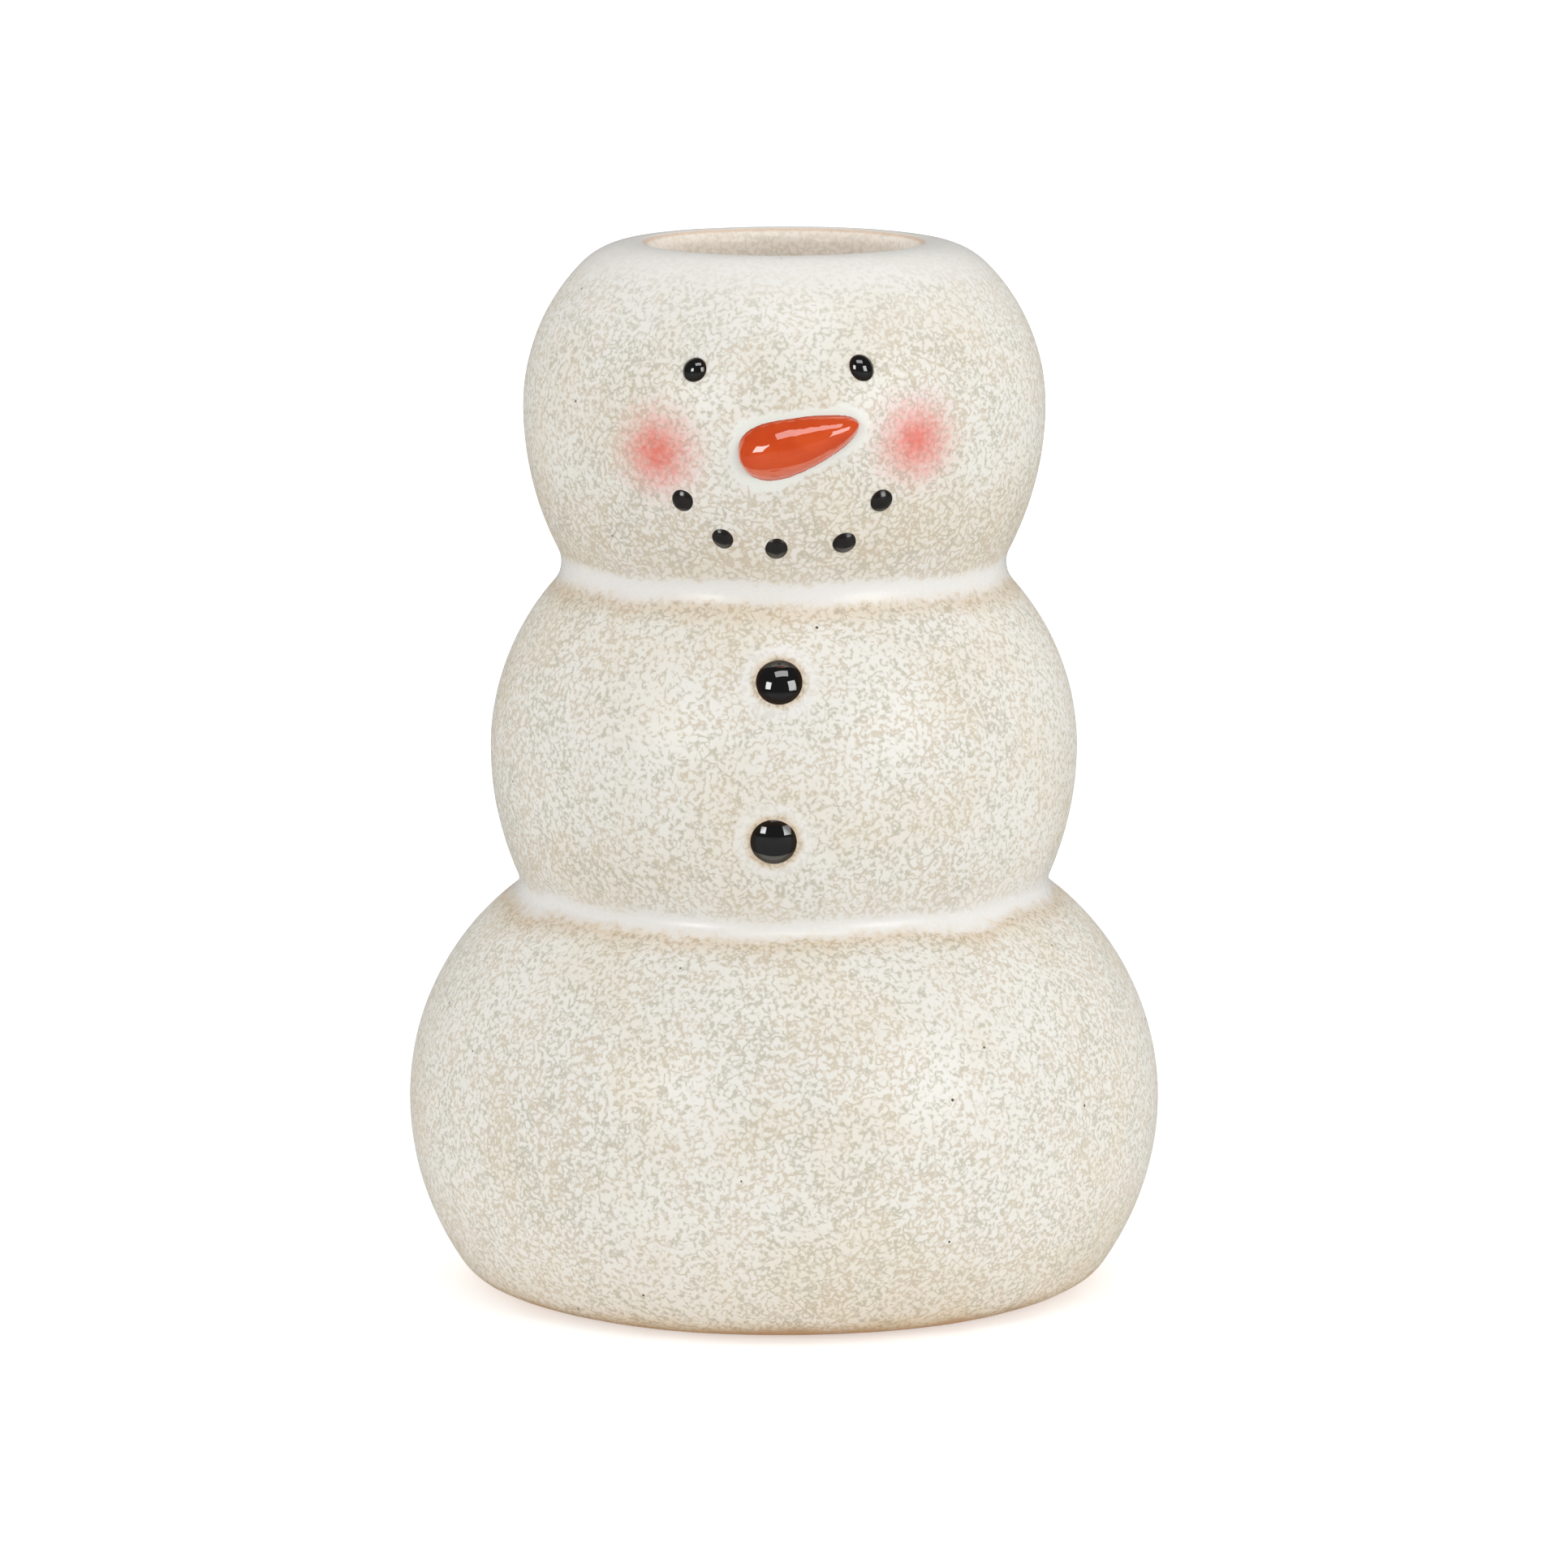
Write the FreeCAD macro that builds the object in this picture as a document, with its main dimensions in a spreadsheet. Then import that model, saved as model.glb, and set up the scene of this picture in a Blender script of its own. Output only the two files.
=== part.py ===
"""Snowman vase in speckled stoneware: a hollow casting of three stacked balls, open at
the top of the head, with a carrot nose, two coat buttons, two eyes and five mouth coals
pressed or trailed onto it.

The frame is in millimetres, +Z up, with the origin at the centre of the foot. The face
looks along -Y. A piece's turn is measured about Z from the front, positive to the
snowman's own left, which is +X.
"""
import FreeCAD, Part
import math
import os

import Sketcher
from FreeCAD import Vector

# Driving dimensions, in millimetres and degrees. Each is a cell of the sheet.
SIZES = {
    # The three balls: radius at the widest point, and rise from one level to the next.
    "base_radius": 68.5,
    "middle_radius": 53.3,
    "head_radius": 47.2,
    "base_low_rise": 33.5,
    "base_top_rise": 39.5,
    "middle_low_rise": 25.2,
    "middle_top_rise": 32.8,
    "head_low_rise": 29.6,
    "head_top_rise": 29.4,
    # The creases between them, as steps in from the ball above.
    "waist_inset": 5.7,
    "neck_inset": 8.2,
    "waist_round": 2.8,
    "neck_round": 6.0,
    # The wall, the rim and the mouth.
    "wall": 5.0,
    "mouth_radius": 23.8,
    "lip_round": 2.5,
    "rim_land": 0.5,
    "rim_depth": 7.0,
    "throat_edge_round": 1.5,
    "shoulder_round": 14.0,
    # The foot and the floor.
    "foot_inset": 17.5,
    "foot_round": 10.5,
    "foot_ring_width": 6.0,
    "foot_recess_depth": 2.0,
    "foot_edge_round": 0.8,
    "floor_thickness": 5.5,
    "floor_round": 9.0,
    # The carrot nose: a tapered bar with round ends, lying across the face.
    "nose_root_radius": 5.3,
    "nose_tip_radius": 2.2,
    "nose_length": 14.6,
    "nose_turn": -2.4,
    "nose_rise": -2.6,
    "nose_tilt": 16.5,
    "nose_dip": 5.0,
    "nose_standoff": 0.3,
    # The coat buttons, which are domes, on the middle ball.
    "button_width": 8.2,
    "button_relief": 1.9,
    "upper_button_turn": -1.0,
    "upper_button_rise": 19.0,
    "lower_button_turn": -2.0,
    "lower_button_rise": -9.0,
    # The eyes, on the head.
    "eye_width": 4.3,
    "eye_length": 4.8,
    "eye_relief": 1.0,
    # The mouth coals, on the underside of the head.
    "coal_width": 3.5,
    "coal_length": 4.0,
    "coal_relief": 0.7,
}

# Where each eye and coal sits: its turn, its rise over the head's widest level, and the
# tilt of its long side from upright, positive leaning to -X.
EYES = {
    "right_eye": (-20.2, 11.0, -35.0),
    "left_eye": (17.5, 11.4, 30.0),
}
COALS = {
    "mouth_coal_1": (-22.9, -12.2, 25.0),
    "mouth_coal_2": (-14.2, -18.9, 60.0),
    "mouth_coal_3": (-1.8, -20.6, -75.0),
    "mouth_coal_4": (14.1, -19.7, -65.0),
    "mouth_coal_5": (22.0, -12.2, -40.0),
}

LEVEL_TOLERANCE = 0.02
CAVITY_OVERSHOOT = 5.0
FULL_TURN = 360.0

START, END, CENTRE = 1, 2, 3
ORIGIN = (-1, START)

doc = FreeCAD.newDocument("SnowmanVase")


def make_sheet():
    """The driving dimensions as a spreadsheet, one alias to a cell."""
    sheet = doc.addObject("Spreadsheet::Sheet", "sizes")
    places = [("eyes", EYES), ("coals", COALS)]
    cells = dict(SIZES)
    for _, pieces in places:
        for name, (turn, rise, tilt) in pieces.items():
            cells[f"{name}_turn"] = turn
            cells[f"{name}_rise"] = rise
            cells[f"{name}_tilt"] = tilt
    for row, (alias, value) in enumerate(cells.items(), start=1):
        sheet.set(f"A{row}", alias)
        sheet.set(f"B{row}", str(value))
        sheet.setAlias(f"B{row}", alias)
    doc.recompute()
    return sheet


sheet = make_sheet()


def size(alias):
    """A driving dimension as a number."""
    return float(sheet.get(alias))


# Sizes that follow from others, as expressions that the sketches are bound to.
WAIST_RADIUS = "sizes.middle_radius - sizes.waist_inset"
NECK_RADIUS = "sizes.head_radius - sizes.neck_inset"
FOOT_RADIUS = "sizes.base_radius - sizes.foot_inset"
CREST_RADIUS = "sizes.mouth_radius + sizes.lip_round + sizes.rim_land"
# The two big rounds are limited by the wall that they turn.
SHOULDER_ROUND = (
    "min(sizes.shoulder_round; 0.7 * (sizes.head_radius - sizes.mouth_radius"
    " - sizes.lip_round - sizes.rim_land))"
)
FOOT_ROUND = "min(sizes.foot_round; 0.7 * sizes.foot_inset)"
HEIGHT = (
    "sizes.base_low_rise + sizes.base_top_rise + sizes.middle_low_rise"
    " + sizes.middle_top_rise + sizes.head_low_rise + sizes.head_top_rise"
)
MIDDLE_LEVEL = "sizes.base_low_rise + sizes.base_top_rise + sizes.middle_low_rise"
HEAD_LEVEL = MIDDLE_LEVEL + " + sizes.middle_top_rise + sizes.head_low_rise"


def number(expression):
    """The present value of an expression on the sheet."""
    value = sheet.evalExpression(expression)
    return float(getattr(value, "Value", value))


def bulge_radius(widest, crease, rise):
    """Radius of an arc that is upright at the widest point and passes the crease."""
    step = widest - crease
    return (step**2 + rise**2) / (2 * step)


def tangent_radius(step, rise, corner_round):
    """Radius of an arc that is upright at its outer end and runs into a round corner.

    step and rise lead from the round's centre to the arc's upright end.
    """
    return (step**2 + rise**2 - corner_round**2) / (2 * (step - corner_round))


class Outline:
    """A sketch on one of a body's own planes, with helpers to draw and bind it."""

    def __init__(self, body, name, role="XZ_Plane"):
        self.sketch = body.newObject("Sketcher::SketchObject", name)
        plane = next(f for f in body.Origin.OriginFeatures if f.Role == role)
        self.sketch.AttachmentSupport = [(plane, "")]
        self.sketch.MapMode = "FlatFace"

    def line(self, start, end):
        edge = Part.LineSegment(Vector(*start, 0), Vector(*end, 0))
        return self.sketch.addGeometry(edge, False)

    def arc(self, centre, radius, start_angle, end_angle, construction=False):
        circle = Part.Circle(Vector(*centre, 0), Vector(0, 0, 1), radius)
        edge = Part.ArcOfCircle(circle, start_angle, end_angle)
        return self.sketch.addGeometry(edge, construction)

    def relate(self, kind, *places):
        return self.sketch.addConstraint(Sketcher.Constraint(kind, *places))

    def join(self, *edges):
        """Joins each edge's end to the next one's start, and the last to the first."""
        for edge, following in zip(edges, edges[1:] + edges[:1]):
            self.relate("Coincident", edge, END, following, START)

    def bind(self, kind, places, name, expression):
        """Adds a named dimension that follows an expression on the sheet."""
        index = self.relate(kind, *places, number(expression))
        self.sketch.renameConstraint(index, name)
        self.sketch.setExpression(f"Constraints.{name}", expression)

    def point(self, edge, place):
        return self.sketch.getPoint(edge, place)

    def level_arc(self, widest, rise_to_end, end_radius, construction):
        """An arc that is upright at a ball's widest point and ends at a crease."""
        across, level = widest
        radius = bulge_radius(across, end_radius, abs(rise_to_end))
        centre = (across - radius, level)
        lean = math.atan2(rise_to_end, end_radius - centre[0])
        low, high = min(lean, 0.0), max(lean, 0.0)
        return self.arc(centre, radius, low, high, construction)


def draw_skin(outline, construction=False):
    """The outer skin from the foot to the crest of the rim, as arcs that meet.

    Returns their indices by name, lowest first. Those on the upper half of a ball run
    upwards from its widest point, and the others run upwards to it.
    """
    base, middle, head = (size(f"{b}_radius") for b in ("base", "middle", "head"))
    waist, neck, foot, crest = (
        number(e) for e in (WAIST_RADIUS, NECK_RADIUS, FOOT_RADIUS, CREST_RADIUS)
    )
    foot_round, shoulder = number(FOOT_ROUND), number(SHOULDER_ROUND)
    base_level = size("base_low_rise")
    middle_level, head_level, top = (number(e) for e in (MIDDLE_LEVEL, HEAD_LEVEL, HEIGHT))

    low_rise = base_level - foot_round
    low_radius = tangent_radius(base - foot, low_rise, foot_round)
    low_lean = math.atan2(-low_rise, foot - base + low_radius)
    top_rise = top - shoulder - head_level
    top_radius = tangent_radius(head - crest, top_rise, shoulder)
    top_lean = math.atan2(top_rise, crest - head + top_radius)

    def level_arc(across, level, rise, end_radius):
        return outline.level_arc((across, level), rise, end_radius, construction)

    down = -math.pi / 2
    foot_centre, crest_centre = (foot, foot_round), (crest, top - shoulder)
    low_centre, top_centre = (base - low_radius, base_level), (head - top_radius, head_level)
    a = {
        "foot": outline.arc(foot_centre, foot_round, down, low_lean, construction),
        "base_low": outline.arc(low_centre, low_radius, low_lean, 0.0, construction),
        "base_top": level_arc(base, base_level, size("base_top_rise"), waist),
        "middle_low": level_arc(middle, middle_level, -size("middle_low_rise"), waist),
        "middle_top": level_arc(middle, middle_level, size("middle_top_rise"), neck),
        "head_low": level_arc(head, head_level, -size("head_low_rise"), neck),
        "head_top": outline.arc(top_centre, top_radius, 0.0, top_lean, construction),
        "shoulder": outline.arc(crest_centre, shoulder, top_lean, -down, construction),
    }

    outline.relate("Tangent", a["foot"], END, a["base_low"], START)
    outline.relate("Tangent", a["head_top"], END, a["shoulder"], START)
    for lower, upper in zip(("base_low", "middle_low", "head_low"),
                            ("base_top", "middle_top", "head_top")):
        outline.relate("Coincident", a[lower], END, a[upper], START)
        outline.relate("Horizontal", a[lower], END, a[lower], CENTRE)
        outline.relate("Horizontal", a[upper], START, a[upper], CENTRE)
    for lower, upper in (("base_top", "middle_low"), ("middle_top", "head_low")):
        outline.relate("Coincident", a[lower], END, a[upper], START)
    outline.relate("Vertical", a["foot"], START, a["foot"], CENTRE)
    outline.relate("Vertical", a["shoulder"], END, a["shoulder"], CENTRE)
    outline.relate("Horizontal", *ORIGIN, a["foot"], START)

    def across(name, edge, place, expression):
        outline.bind("DistanceX", (*ORIGIN, a[edge], place), name, expression)

    def rise(name, low, low_place, high, high_place):
        outline.bind(
            "DistanceY", (a[low], low_place, a[high], high_place), name, f"sizes.{name}"
        )

    across("foot_radius", "foot", START, FOOT_RADIUS)
    across("base_radius", "base_low", END, "sizes.base_radius")
    across("waist_radius", "base_top", END, WAIST_RADIUS)
    across("middle_radius", "middle_low", END, "sizes.middle_radius")
    across("neck_radius", "middle_top", END, NECK_RADIUS)
    across("head_radius", "head_low", END, "sizes.head_radius")
    across("crest_radius", "shoulder", END, CREST_RADIUS)
    outline.bind("Radius", (a["foot"],), "foot_round", FOOT_ROUND)
    outline.bind("Radius", (a["shoulder"],), "shoulder_round", SHOULDER_ROUND)
    outline.bind(
        "DistanceY", (*ORIGIN, a["base_low"], END), "base_low_rise", "sizes.base_low_rise"
    )
    rise("base_top_rise", "base_low", END, "base_top", END)
    rise("middle_low_rise", "base_top", END, "middle_low", END)
    rise("middle_top_rise", "middle_low", END, "middle_top", END)
    rise("head_low_rise", "middle_top", END, "head_low", END)
    rise("head_top_rise", "head_low", END, "shoulder", END)
    return a


def revolve(body, kind, outline, name, axis="V_Axis"):
    """A full turn of an outline about one of its axes; a groove must take material."""
    before = body.Tip.Shape.Volume if body.Tip else 0.0
    feature = body.newObject(kind, name)
    feature.Profile = outline.sketch
    feature.ReferenceAxis = (outline.sketch, [axis])
    feature.Angle = FULL_TURN
    doc.recompute()
    if (kind == "PartDesign::Groove") == (feature.Shape.Volume > before):
        raise RuntimeError(f"{name} has not changed the solid as it should")
    return feature


def ring_edge(feature, radius, level):
    """The name of the circular edge of that radius, about Z, at that level."""
    for index, edge in enumerate(feature.Shape.Edges, start=1):
        curve = edge.Curve
        if not isinstance(curve, Part.Circle):
            continue
        centre = curve.Center
        if (
            abs(curve.Radius - radius) < LEVEL_TOLERANCE
            and abs(centre.z - level) < LEVEL_TOLERANCE
            and math.hypot(centre.x, centre.y) < LEVEL_TOLERANCE
        ):
            return f"Edge{index}"
    raise ValueError(f"{feature.Name} has no ring of radius {radius} at level {level}")


def round_ring(body, name, radius, level, expression):
    """Rounds one ring edge of the body's tip by a bound radius."""
    base = body.Tip
    fillet = body.newObject("PartDesign::Fillet", name)
    fillet.Base = (base, [ring_edge(base, radius, level)])
    fillet.setExpression("Radius", expression)
    doc.recompute()
    return fillet


def add_skin(body, prefix):
    """The solid outer form: the skin closed along the foot, the top and the axis."""
    outline = Outline(body, f"{prefix}_outline")
    a = draw_skin(outline)
    foot = outline.point(a["foot"], START)
    crest = outline.point(a["shoulder"], END)
    sole = outline.line((0, 0), (foot.x, 0))
    lid = outline.line((crest.x, crest.y), (0, crest.y))
    axis = outline.line((0, crest.y), (0, 0))
    outline.relate("Coincident", sole, START, *ORIGIN)
    outline.relate("Coincident", sole, END, a["foot"], START)
    outline.relate("Coincident", lid, START, a["shoulder"], END)
    outline.relate("Horizontal", lid)
    outline.relate("Coincident", axis, START, lid, END)
    outline.relate("Coincident", axis, END, sole, START)
    outline.relate("Vertical", axis)
    doc.recompute()
    revolve(body, "PartDesign::Revolution", outline, f"{prefix}_skin")
    waist_level = size("base_low_rise") + size("base_top_rise")
    neck_level = number(MIDDLE_LEVEL) + size("middle_top_rise")
    round_ring(
        body, f"{prefix}_waist_crease", number(WAIST_RADIUS), waist_level,
        "sizes.waist_round",
    )
    round_ring(
        body, f"{prefix}_neck_crease", number(NECK_RADIUS), neck_level,
        "sizes.neck_round",
    )


def add_cavity(body):
    """Hollows the body at an even wall inside the skin, out through the mouth."""
    outline = Outline(body, "cavity_outline")
    skin = draw_skin(outline, construction=True)
    wall = size("wall")
    sides = ["base_low", "base_top", "middle_low", "middle_top", "head_low", "head_top"]
    geometry = {n: outline.sketch.Geometry[skin[n]] for n in sides}
    floor = size("foot_recess_depth") + size("floor_thickness")
    top = number(HEIGHT)
    ceiling, mouth = top - size("rim_depth"), size("mouth_radius")

    def crossing(lower, upper):
        """Where two skin arcs, moved in by the wall, meet on the outside."""
        low, high = geometry[lower], geometry[upper]
        low_radius, high_radius = low.Radius - wall, high.Radius - wall
        gap = high.Center - low.Center
        along = (low_radius**2 - high_radius**2 + gap.Length**2) / (2 * gap.Length)
        aside = math.sqrt(low_radius**2 - along**2)
        unit = gap / gap.Length
        return low.Center + unit * along + Vector(unit.y, -unit.x, 0) * aside

    waist = crossing("base_top", "middle_low")
    neck = crossing("middle_top", "head_low")
    shoulder = number(SHOULDER_ROUND) - wall
    head = geometry["head_top"]
    drop = ceiling - shoulder - head.Center.y
    reach = math.sqrt((head.Radius - wall - shoulder) ** 2 - drop**2)
    shoulder_centre = (head.Center.x + reach, ceiling - shoulder)
    shoulder_lean = math.atan2(drop, reach)
    low = geometry["base_low"]
    floor_lean = math.asin((floor - low.Center.y) / (low.Radius - wall))

    def lean(name, point):
        centre = geometry[name].Center
        return math.atan2(point.y - centre.y, point.x - centre.x)

    spans = {
        "base_low": (floor_lean, 0.0),
        "base_top": (0.0, lean("base_top", waist)),
        "middle_low": (lean("middle_low", waist), 0.0),
        "middle_top": (0.0, lean("middle_top", neck)),
        "head_low": (lean("head_low", neck), 0.0),
        "head_top": (0.0, shoulder_lean),
    }
    inner = {}
    for name, (low_angle, high_angle) in spans.items():
        centre = geometry[name].Center
        radius = geometry[name].Radius - wall
        inner[name] = outline.arc((centre.x, centre.y), radius, low_angle, high_angle)
        outline.relate("Coincident", inner[name], CENTRE, skin[name], CENTRE)
    inner["shoulder"] = outline.arc(shoulder_centre, shoulder, shoulder_lean, math.pi / 2)

    for lower, upper in zip(sides, sides[1:]):
        outline.relate("Coincident", inner[lower], END, inner[upper], START)
    for name in ("base_low", "middle_low", "head_low"):
        outline.relate("Horizontal", inner[name], END, inner[name], CENTRE)
        outline.bind(
            "DistanceX", (inner[name], END, skin[name], END), f"{name}_wall", "sizes.wall"
        )
    outline.relate("Tangent", inner["head_top"], END, inner["shoulder"], START)
    outline.bind(
        "Radius", (inner["shoulder"],), "inner_shoulder", f"{SHOULDER_ROUND} - sizes.wall"
    )

    floor_end = outline.point(inner["base_low"], START)
    ceiling_start = outline.point(inner["shoulder"], END)
    over = top + CAVITY_OVERSHOOT
    base = outline.line((0, floor), (floor_end.x, floor))
    roof = outline.line((ceiling_start.x, ceiling), (mouth, ceiling))
    throat = outline.line((mouth, ceiling), (mouth, over))
    lid = outline.line((mouth, over), (0, over))
    axis = outline.line((0, over), (0, floor))
    outline.relate("Coincident", base, END, inner["base_low"], START)
    outline.relate("Tangent", inner["shoulder"], END, roof, START)
    outline.relate("Coincident", roof, END, throat, START)
    outline.relate("Coincident", throat, END, lid, START)
    outline.relate("Coincident", lid, END, axis, START)
    outline.relate("Coincident", axis, END, base, START)
    outline.relate("Vertical", *ORIGIN, axis, END)
    for level in (base, roof, lid):
        outline.relate("Horizontal", level)
    for upright in (throat, axis):
        outline.relate("Vertical", upright)
    outline.bind(
        "DistanceY", (*ORIGIN, base, START), "floor_level",
        "sizes.foot_recess_depth + sizes.floor_thickness",
    )
    outline.bind(
        "DistanceY", (roof, END, skin["shoulder"], END), "rim_depth", "sizes.rim_depth"
    )
    outline.bind("DistanceX", (*ORIGIN, roof, END), "mouth_radius", "sizes.mouth_radius")
    outline.bind(
        "DistanceY", (*ORIGIN, lid, START), "overshoot", f"{HEIGHT} + {CAVITY_OVERSHOOT}"
    )
    doc.recompute()
    revolve(body, "PartDesign::Groove", outline, "cavity")
    round_ring(body, "floor_corner", floor_end.x, floor, "sizes.floor_round")
    round_ring(
        body, "waist_ridge", waist.x, waist.y, "sizes.waist_round + sizes.wall"
    )
    round_ring(body, "neck_ridge", neck.x, neck.y, "sizes.neck_round + sizes.wall")
    round_ring(body, "throat_edge", mouth, ceiling, "sizes.throat_edge_round")
    round_ring(body, "lip", mouth, top, "sizes.lip_round")


def add_foot(body):
    """Recesses the underside, which leaves a bare ring to stand on."""
    outline = Outline(body, "recess_outline")
    ring = number(FOOT_RADIUS) - size("foot_ring_width")
    depth = size("foot_recess_depth")
    sides = [
        outline.line((0, 0), (ring, 0)),
        outline.line((ring, 0), (ring, depth)),
        outline.line((ring, depth), (0, depth)),
        outline.line((0, depth), (0, 0)),
    ]
    outline.join(*sides)
    for level in sides[::2]:
        outline.relate("Horizontal", level)
    for upright in sides[1::2]:
        outline.relate("Vertical", upright)
    outline.relate("Coincident", sides[0], START, *ORIGIN)
    outline.bind(
        "DistanceX", (*ORIGIN, sides[0], END), "ring_inside",
        f"{FOOT_RADIUS} - sizes.foot_ring_width",
    )
    outline.bind(
        "DistanceY", (sides[1], START, sides[1], END), "recess_depth",
        "sizes.foot_recess_depth",
    )
    doc.recompute()
    revolve(body, "PartDesign::Groove", outline, "foot_recess")
    round_ring(body, "foot_edge", ring, 0.0, "sizes.foot_edge_round")


def make_vase_body():
    """The hollow casting, in one piece."""
    body = doc.addObject("PartDesign::Body", "vase_body")
    add_skin(body, "vase")
    add_cavity(body)
    add_foot(body)
    return body


def make_casting_form():
    """The casting's outer form as a solid, which trims whatever is pressed onto it."""
    body = doc.addObject("PartDesign::Body", "casting_form")
    add_skin(body, "form")
    return body


def crease_arc(inset, rise):
    """The expression for the radius of a skin arc that ends at a crease."""
    return f"(({inset})^2 + ({rise})^2) / (2 * ({inset}))"


# The skin arcs that carry pieces: the ball's radius and level, and the arc's own radius.
HEAD_TOP_STEP = f"(sizes.head_radius - ({CREST_RADIUS}))"
SKIN_ARCS = {
    "head_top": (
        "sizes.head_radius",
        HEAD_LEVEL,
        f"({HEAD_TOP_STEP}^2 + (sizes.head_top_rise - {SHOULDER_ROUND})^2"
        f" - {SHOULDER_ROUND}^2) / (2 * ({HEAD_TOP_STEP} - {SHOULDER_ROUND}))",
    ),
    "head_low": (
        "sizes.head_radius",
        HEAD_LEVEL,
        crease_arc("sizes.neck_inset", "sizes.head_low_rise"),
    ),
    "middle_top": (
        "sizes.middle_radius",
        MIDDLE_LEVEL,
        crease_arc(f"sizes.middle_radius - ({NECK_RADIUS})", "sizes.middle_top_rise"),
    ),
    "middle_low": (
        "sizes.middle_radius",
        MIDDLE_LEVEL,
        crease_arc("sizes.waist_inset", "sizes.middle_low_rise"),
    ),
}


def seat(blank, arc, turn, rise, tilt, dip="0", standoff="0"):
    """Puts a blank on the skin, its own Z along the outward normal and its Y uphill.

    tilt then turns it about the normal, and dip tips its own +X end into the skin.
    """
    widest, level, radius = SKIN_ARCS[arc]

    def spin(x, y, z, angle):
        return f"create(<<rotation>>; create(<<vector>>; {x}; {y}; {z}); {angle})"

    def step(y, z, rotation):
        return f"create(<<placement>>; create(<<vector>>; 0; {y}; {z}); {rotation})"

    still = spin(0, 0, 1, "0")
    lean = f"asin(({rise}) / ({radius}))"
    chain = [
        step("0", "0", spin(0, 0, 1, turn)),
        step(f"({radius}) - ({widest})", level, spin(1, 0, 0, f"90 deg - {lean}")),
        step("0", f"({radius}) + ({standoff})", still),
        step("0", "0", spin(0, 0, 1, tilt)),
        step("0", "0", spin(0, 1, 0, dip)),
    ]
    blank.setExpression("Placement", " * ".join(chain))


def trimmed(name, blank, form):
    """A blank with the casting's form taken from it, so that it beds on the skin."""
    piece = doc.addObject("Part::Cut", name)
    piece.Base = blank
    piece.Tool = form
    return piece


def make_dome(name, form, arc, width, length, relief, turn, rise, tilt):
    """An oval dome, such as a button or a trailed bead of glaze."""
    blank = doc.addObject("Part::Ellipsoid", f"{name}_blank")
    blank.setExpression("Radius1", relief)
    blank.setExpression("Radius2", f"({width}) / 2")
    blank.setExpression("Radius3", f"({length}) / 2")
    blank.Angle1, blank.Angle2, blank.Angle3 = -90, 90, FULL_TURN
    seat(blank, arc, turn, rise, tilt)
    return trimmed(name, blank, form)


def make_nose(form):
    """The carrot: a tapered bar with round ends, half sunk in the face."""
    body = doc.addObject("PartDesign::Body", "nose_blank")
    outline = Outline(body, "nose_outline", "XY_Plane")
    root, tip, length = (size(f"nose_{n}") for n in ("root_radius", "tip_radius", "length"))
    flank = math.acos((root - tip) / length)

    def on_flank(centre, radius):
        return (centre + radius * math.cos(flank), radius * math.sin(flank))

    heel = outline.arc((0, 0), root, flank, math.pi)
    point = outline.arc((length, 0), tip, 0, flank)
    side = outline.line(on_flank(0, root), on_flank(length, tip))
    axis = outline.line((-root, 0), (length + tip, 0))
    outline.relate("Tangent", heel, START, side, START)
    outline.relate("Tangent", point, END, side, END)
    outline.relate("Coincident", heel, END, axis, START)
    outline.relate("Coincident", point, START, axis, END)
    outline.relate("Horizontal", axis)
    outline.relate("Coincident", heel, CENTRE, *ORIGIN)
    outline.relate("Horizontal", heel, CENTRE, heel, END)
    outline.relate("Horizontal", *ORIGIN, point, CENTRE)
    outline.bind("Radius", (heel,), "root_radius", "sizes.nose_root_radius")
    outline.bind("Radius", (point,), "tip_radius", "sizes.nose_tip_radius")
    outline.bind("DistanceX", (*ORIGIN, point, CENTRE), "nose_length", "sizes.nose_length")
    doc.recompute()
    revolve(body, "PartDesign::Revolution", outline, "carrot", "H_Axis")
    seat(
        body, "head_low", "sizes.nose_turn", "sizes.nose_rise", "sizes.nose_tilt",
        "sizes.nose_dip", "sizes.nose_standoff",
    )
    return trimmed("carrot_nose", body, form)


def make_face(form):
    """The nose, the eyes and the mouth."""
    pieces = [make_nose(form)]
    for kind, group, arc in (("eye", EYES, "head_top"), ("coal", COALS, "head_low")):
        dims = [f"sizes.{kind}_{d}" for d in ("width", "length", "relief")]
        for name in group:
            place = [f"sizes.{name}_{p}" for p in ("turn", "rise", "tilt")]
            pieces.append(make_dome(name, form, arc, *dims, *place))
    return pieces


def make_buttons(form):
    """The two coat buttons down the front of the middle ball."""
    pieces = []
    for name, arc in (("upper_button", "middle_top"), ("lower_button", "middle_low")):
        pieces.append(
            make_dome(
                name, form, arc, "sizes.button_width", "sizes.button_width",
                "sizes.button_relief", f"sizes.{name}_turn", f"sizes.{name}_rise", "0",
            )
        )
    return pieces


def check(pieces):
    """Stops the script if any object failed or any sub-part isn't one sound solid."""
    for thing in doc.Objects:
        if {"Invalid", "Error"} & set(thing.State):
            raise RuntimeError(f"{thing.Name} failed: {thing.State}")
        if thing.TypeId == "Sketcher::SketchObject" and not thing.FullyConstrained:
            raise RuntimeError(f"{thing.Name} is not fully constrained")
    for piece in pieces:
        shape = piece.Shape
        if shape.isNull() or not shape.isValid() or len(shape.Solids) != 1:
            raise RuntimeError(f"{piece.Label} is not one valid solid")


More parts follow.
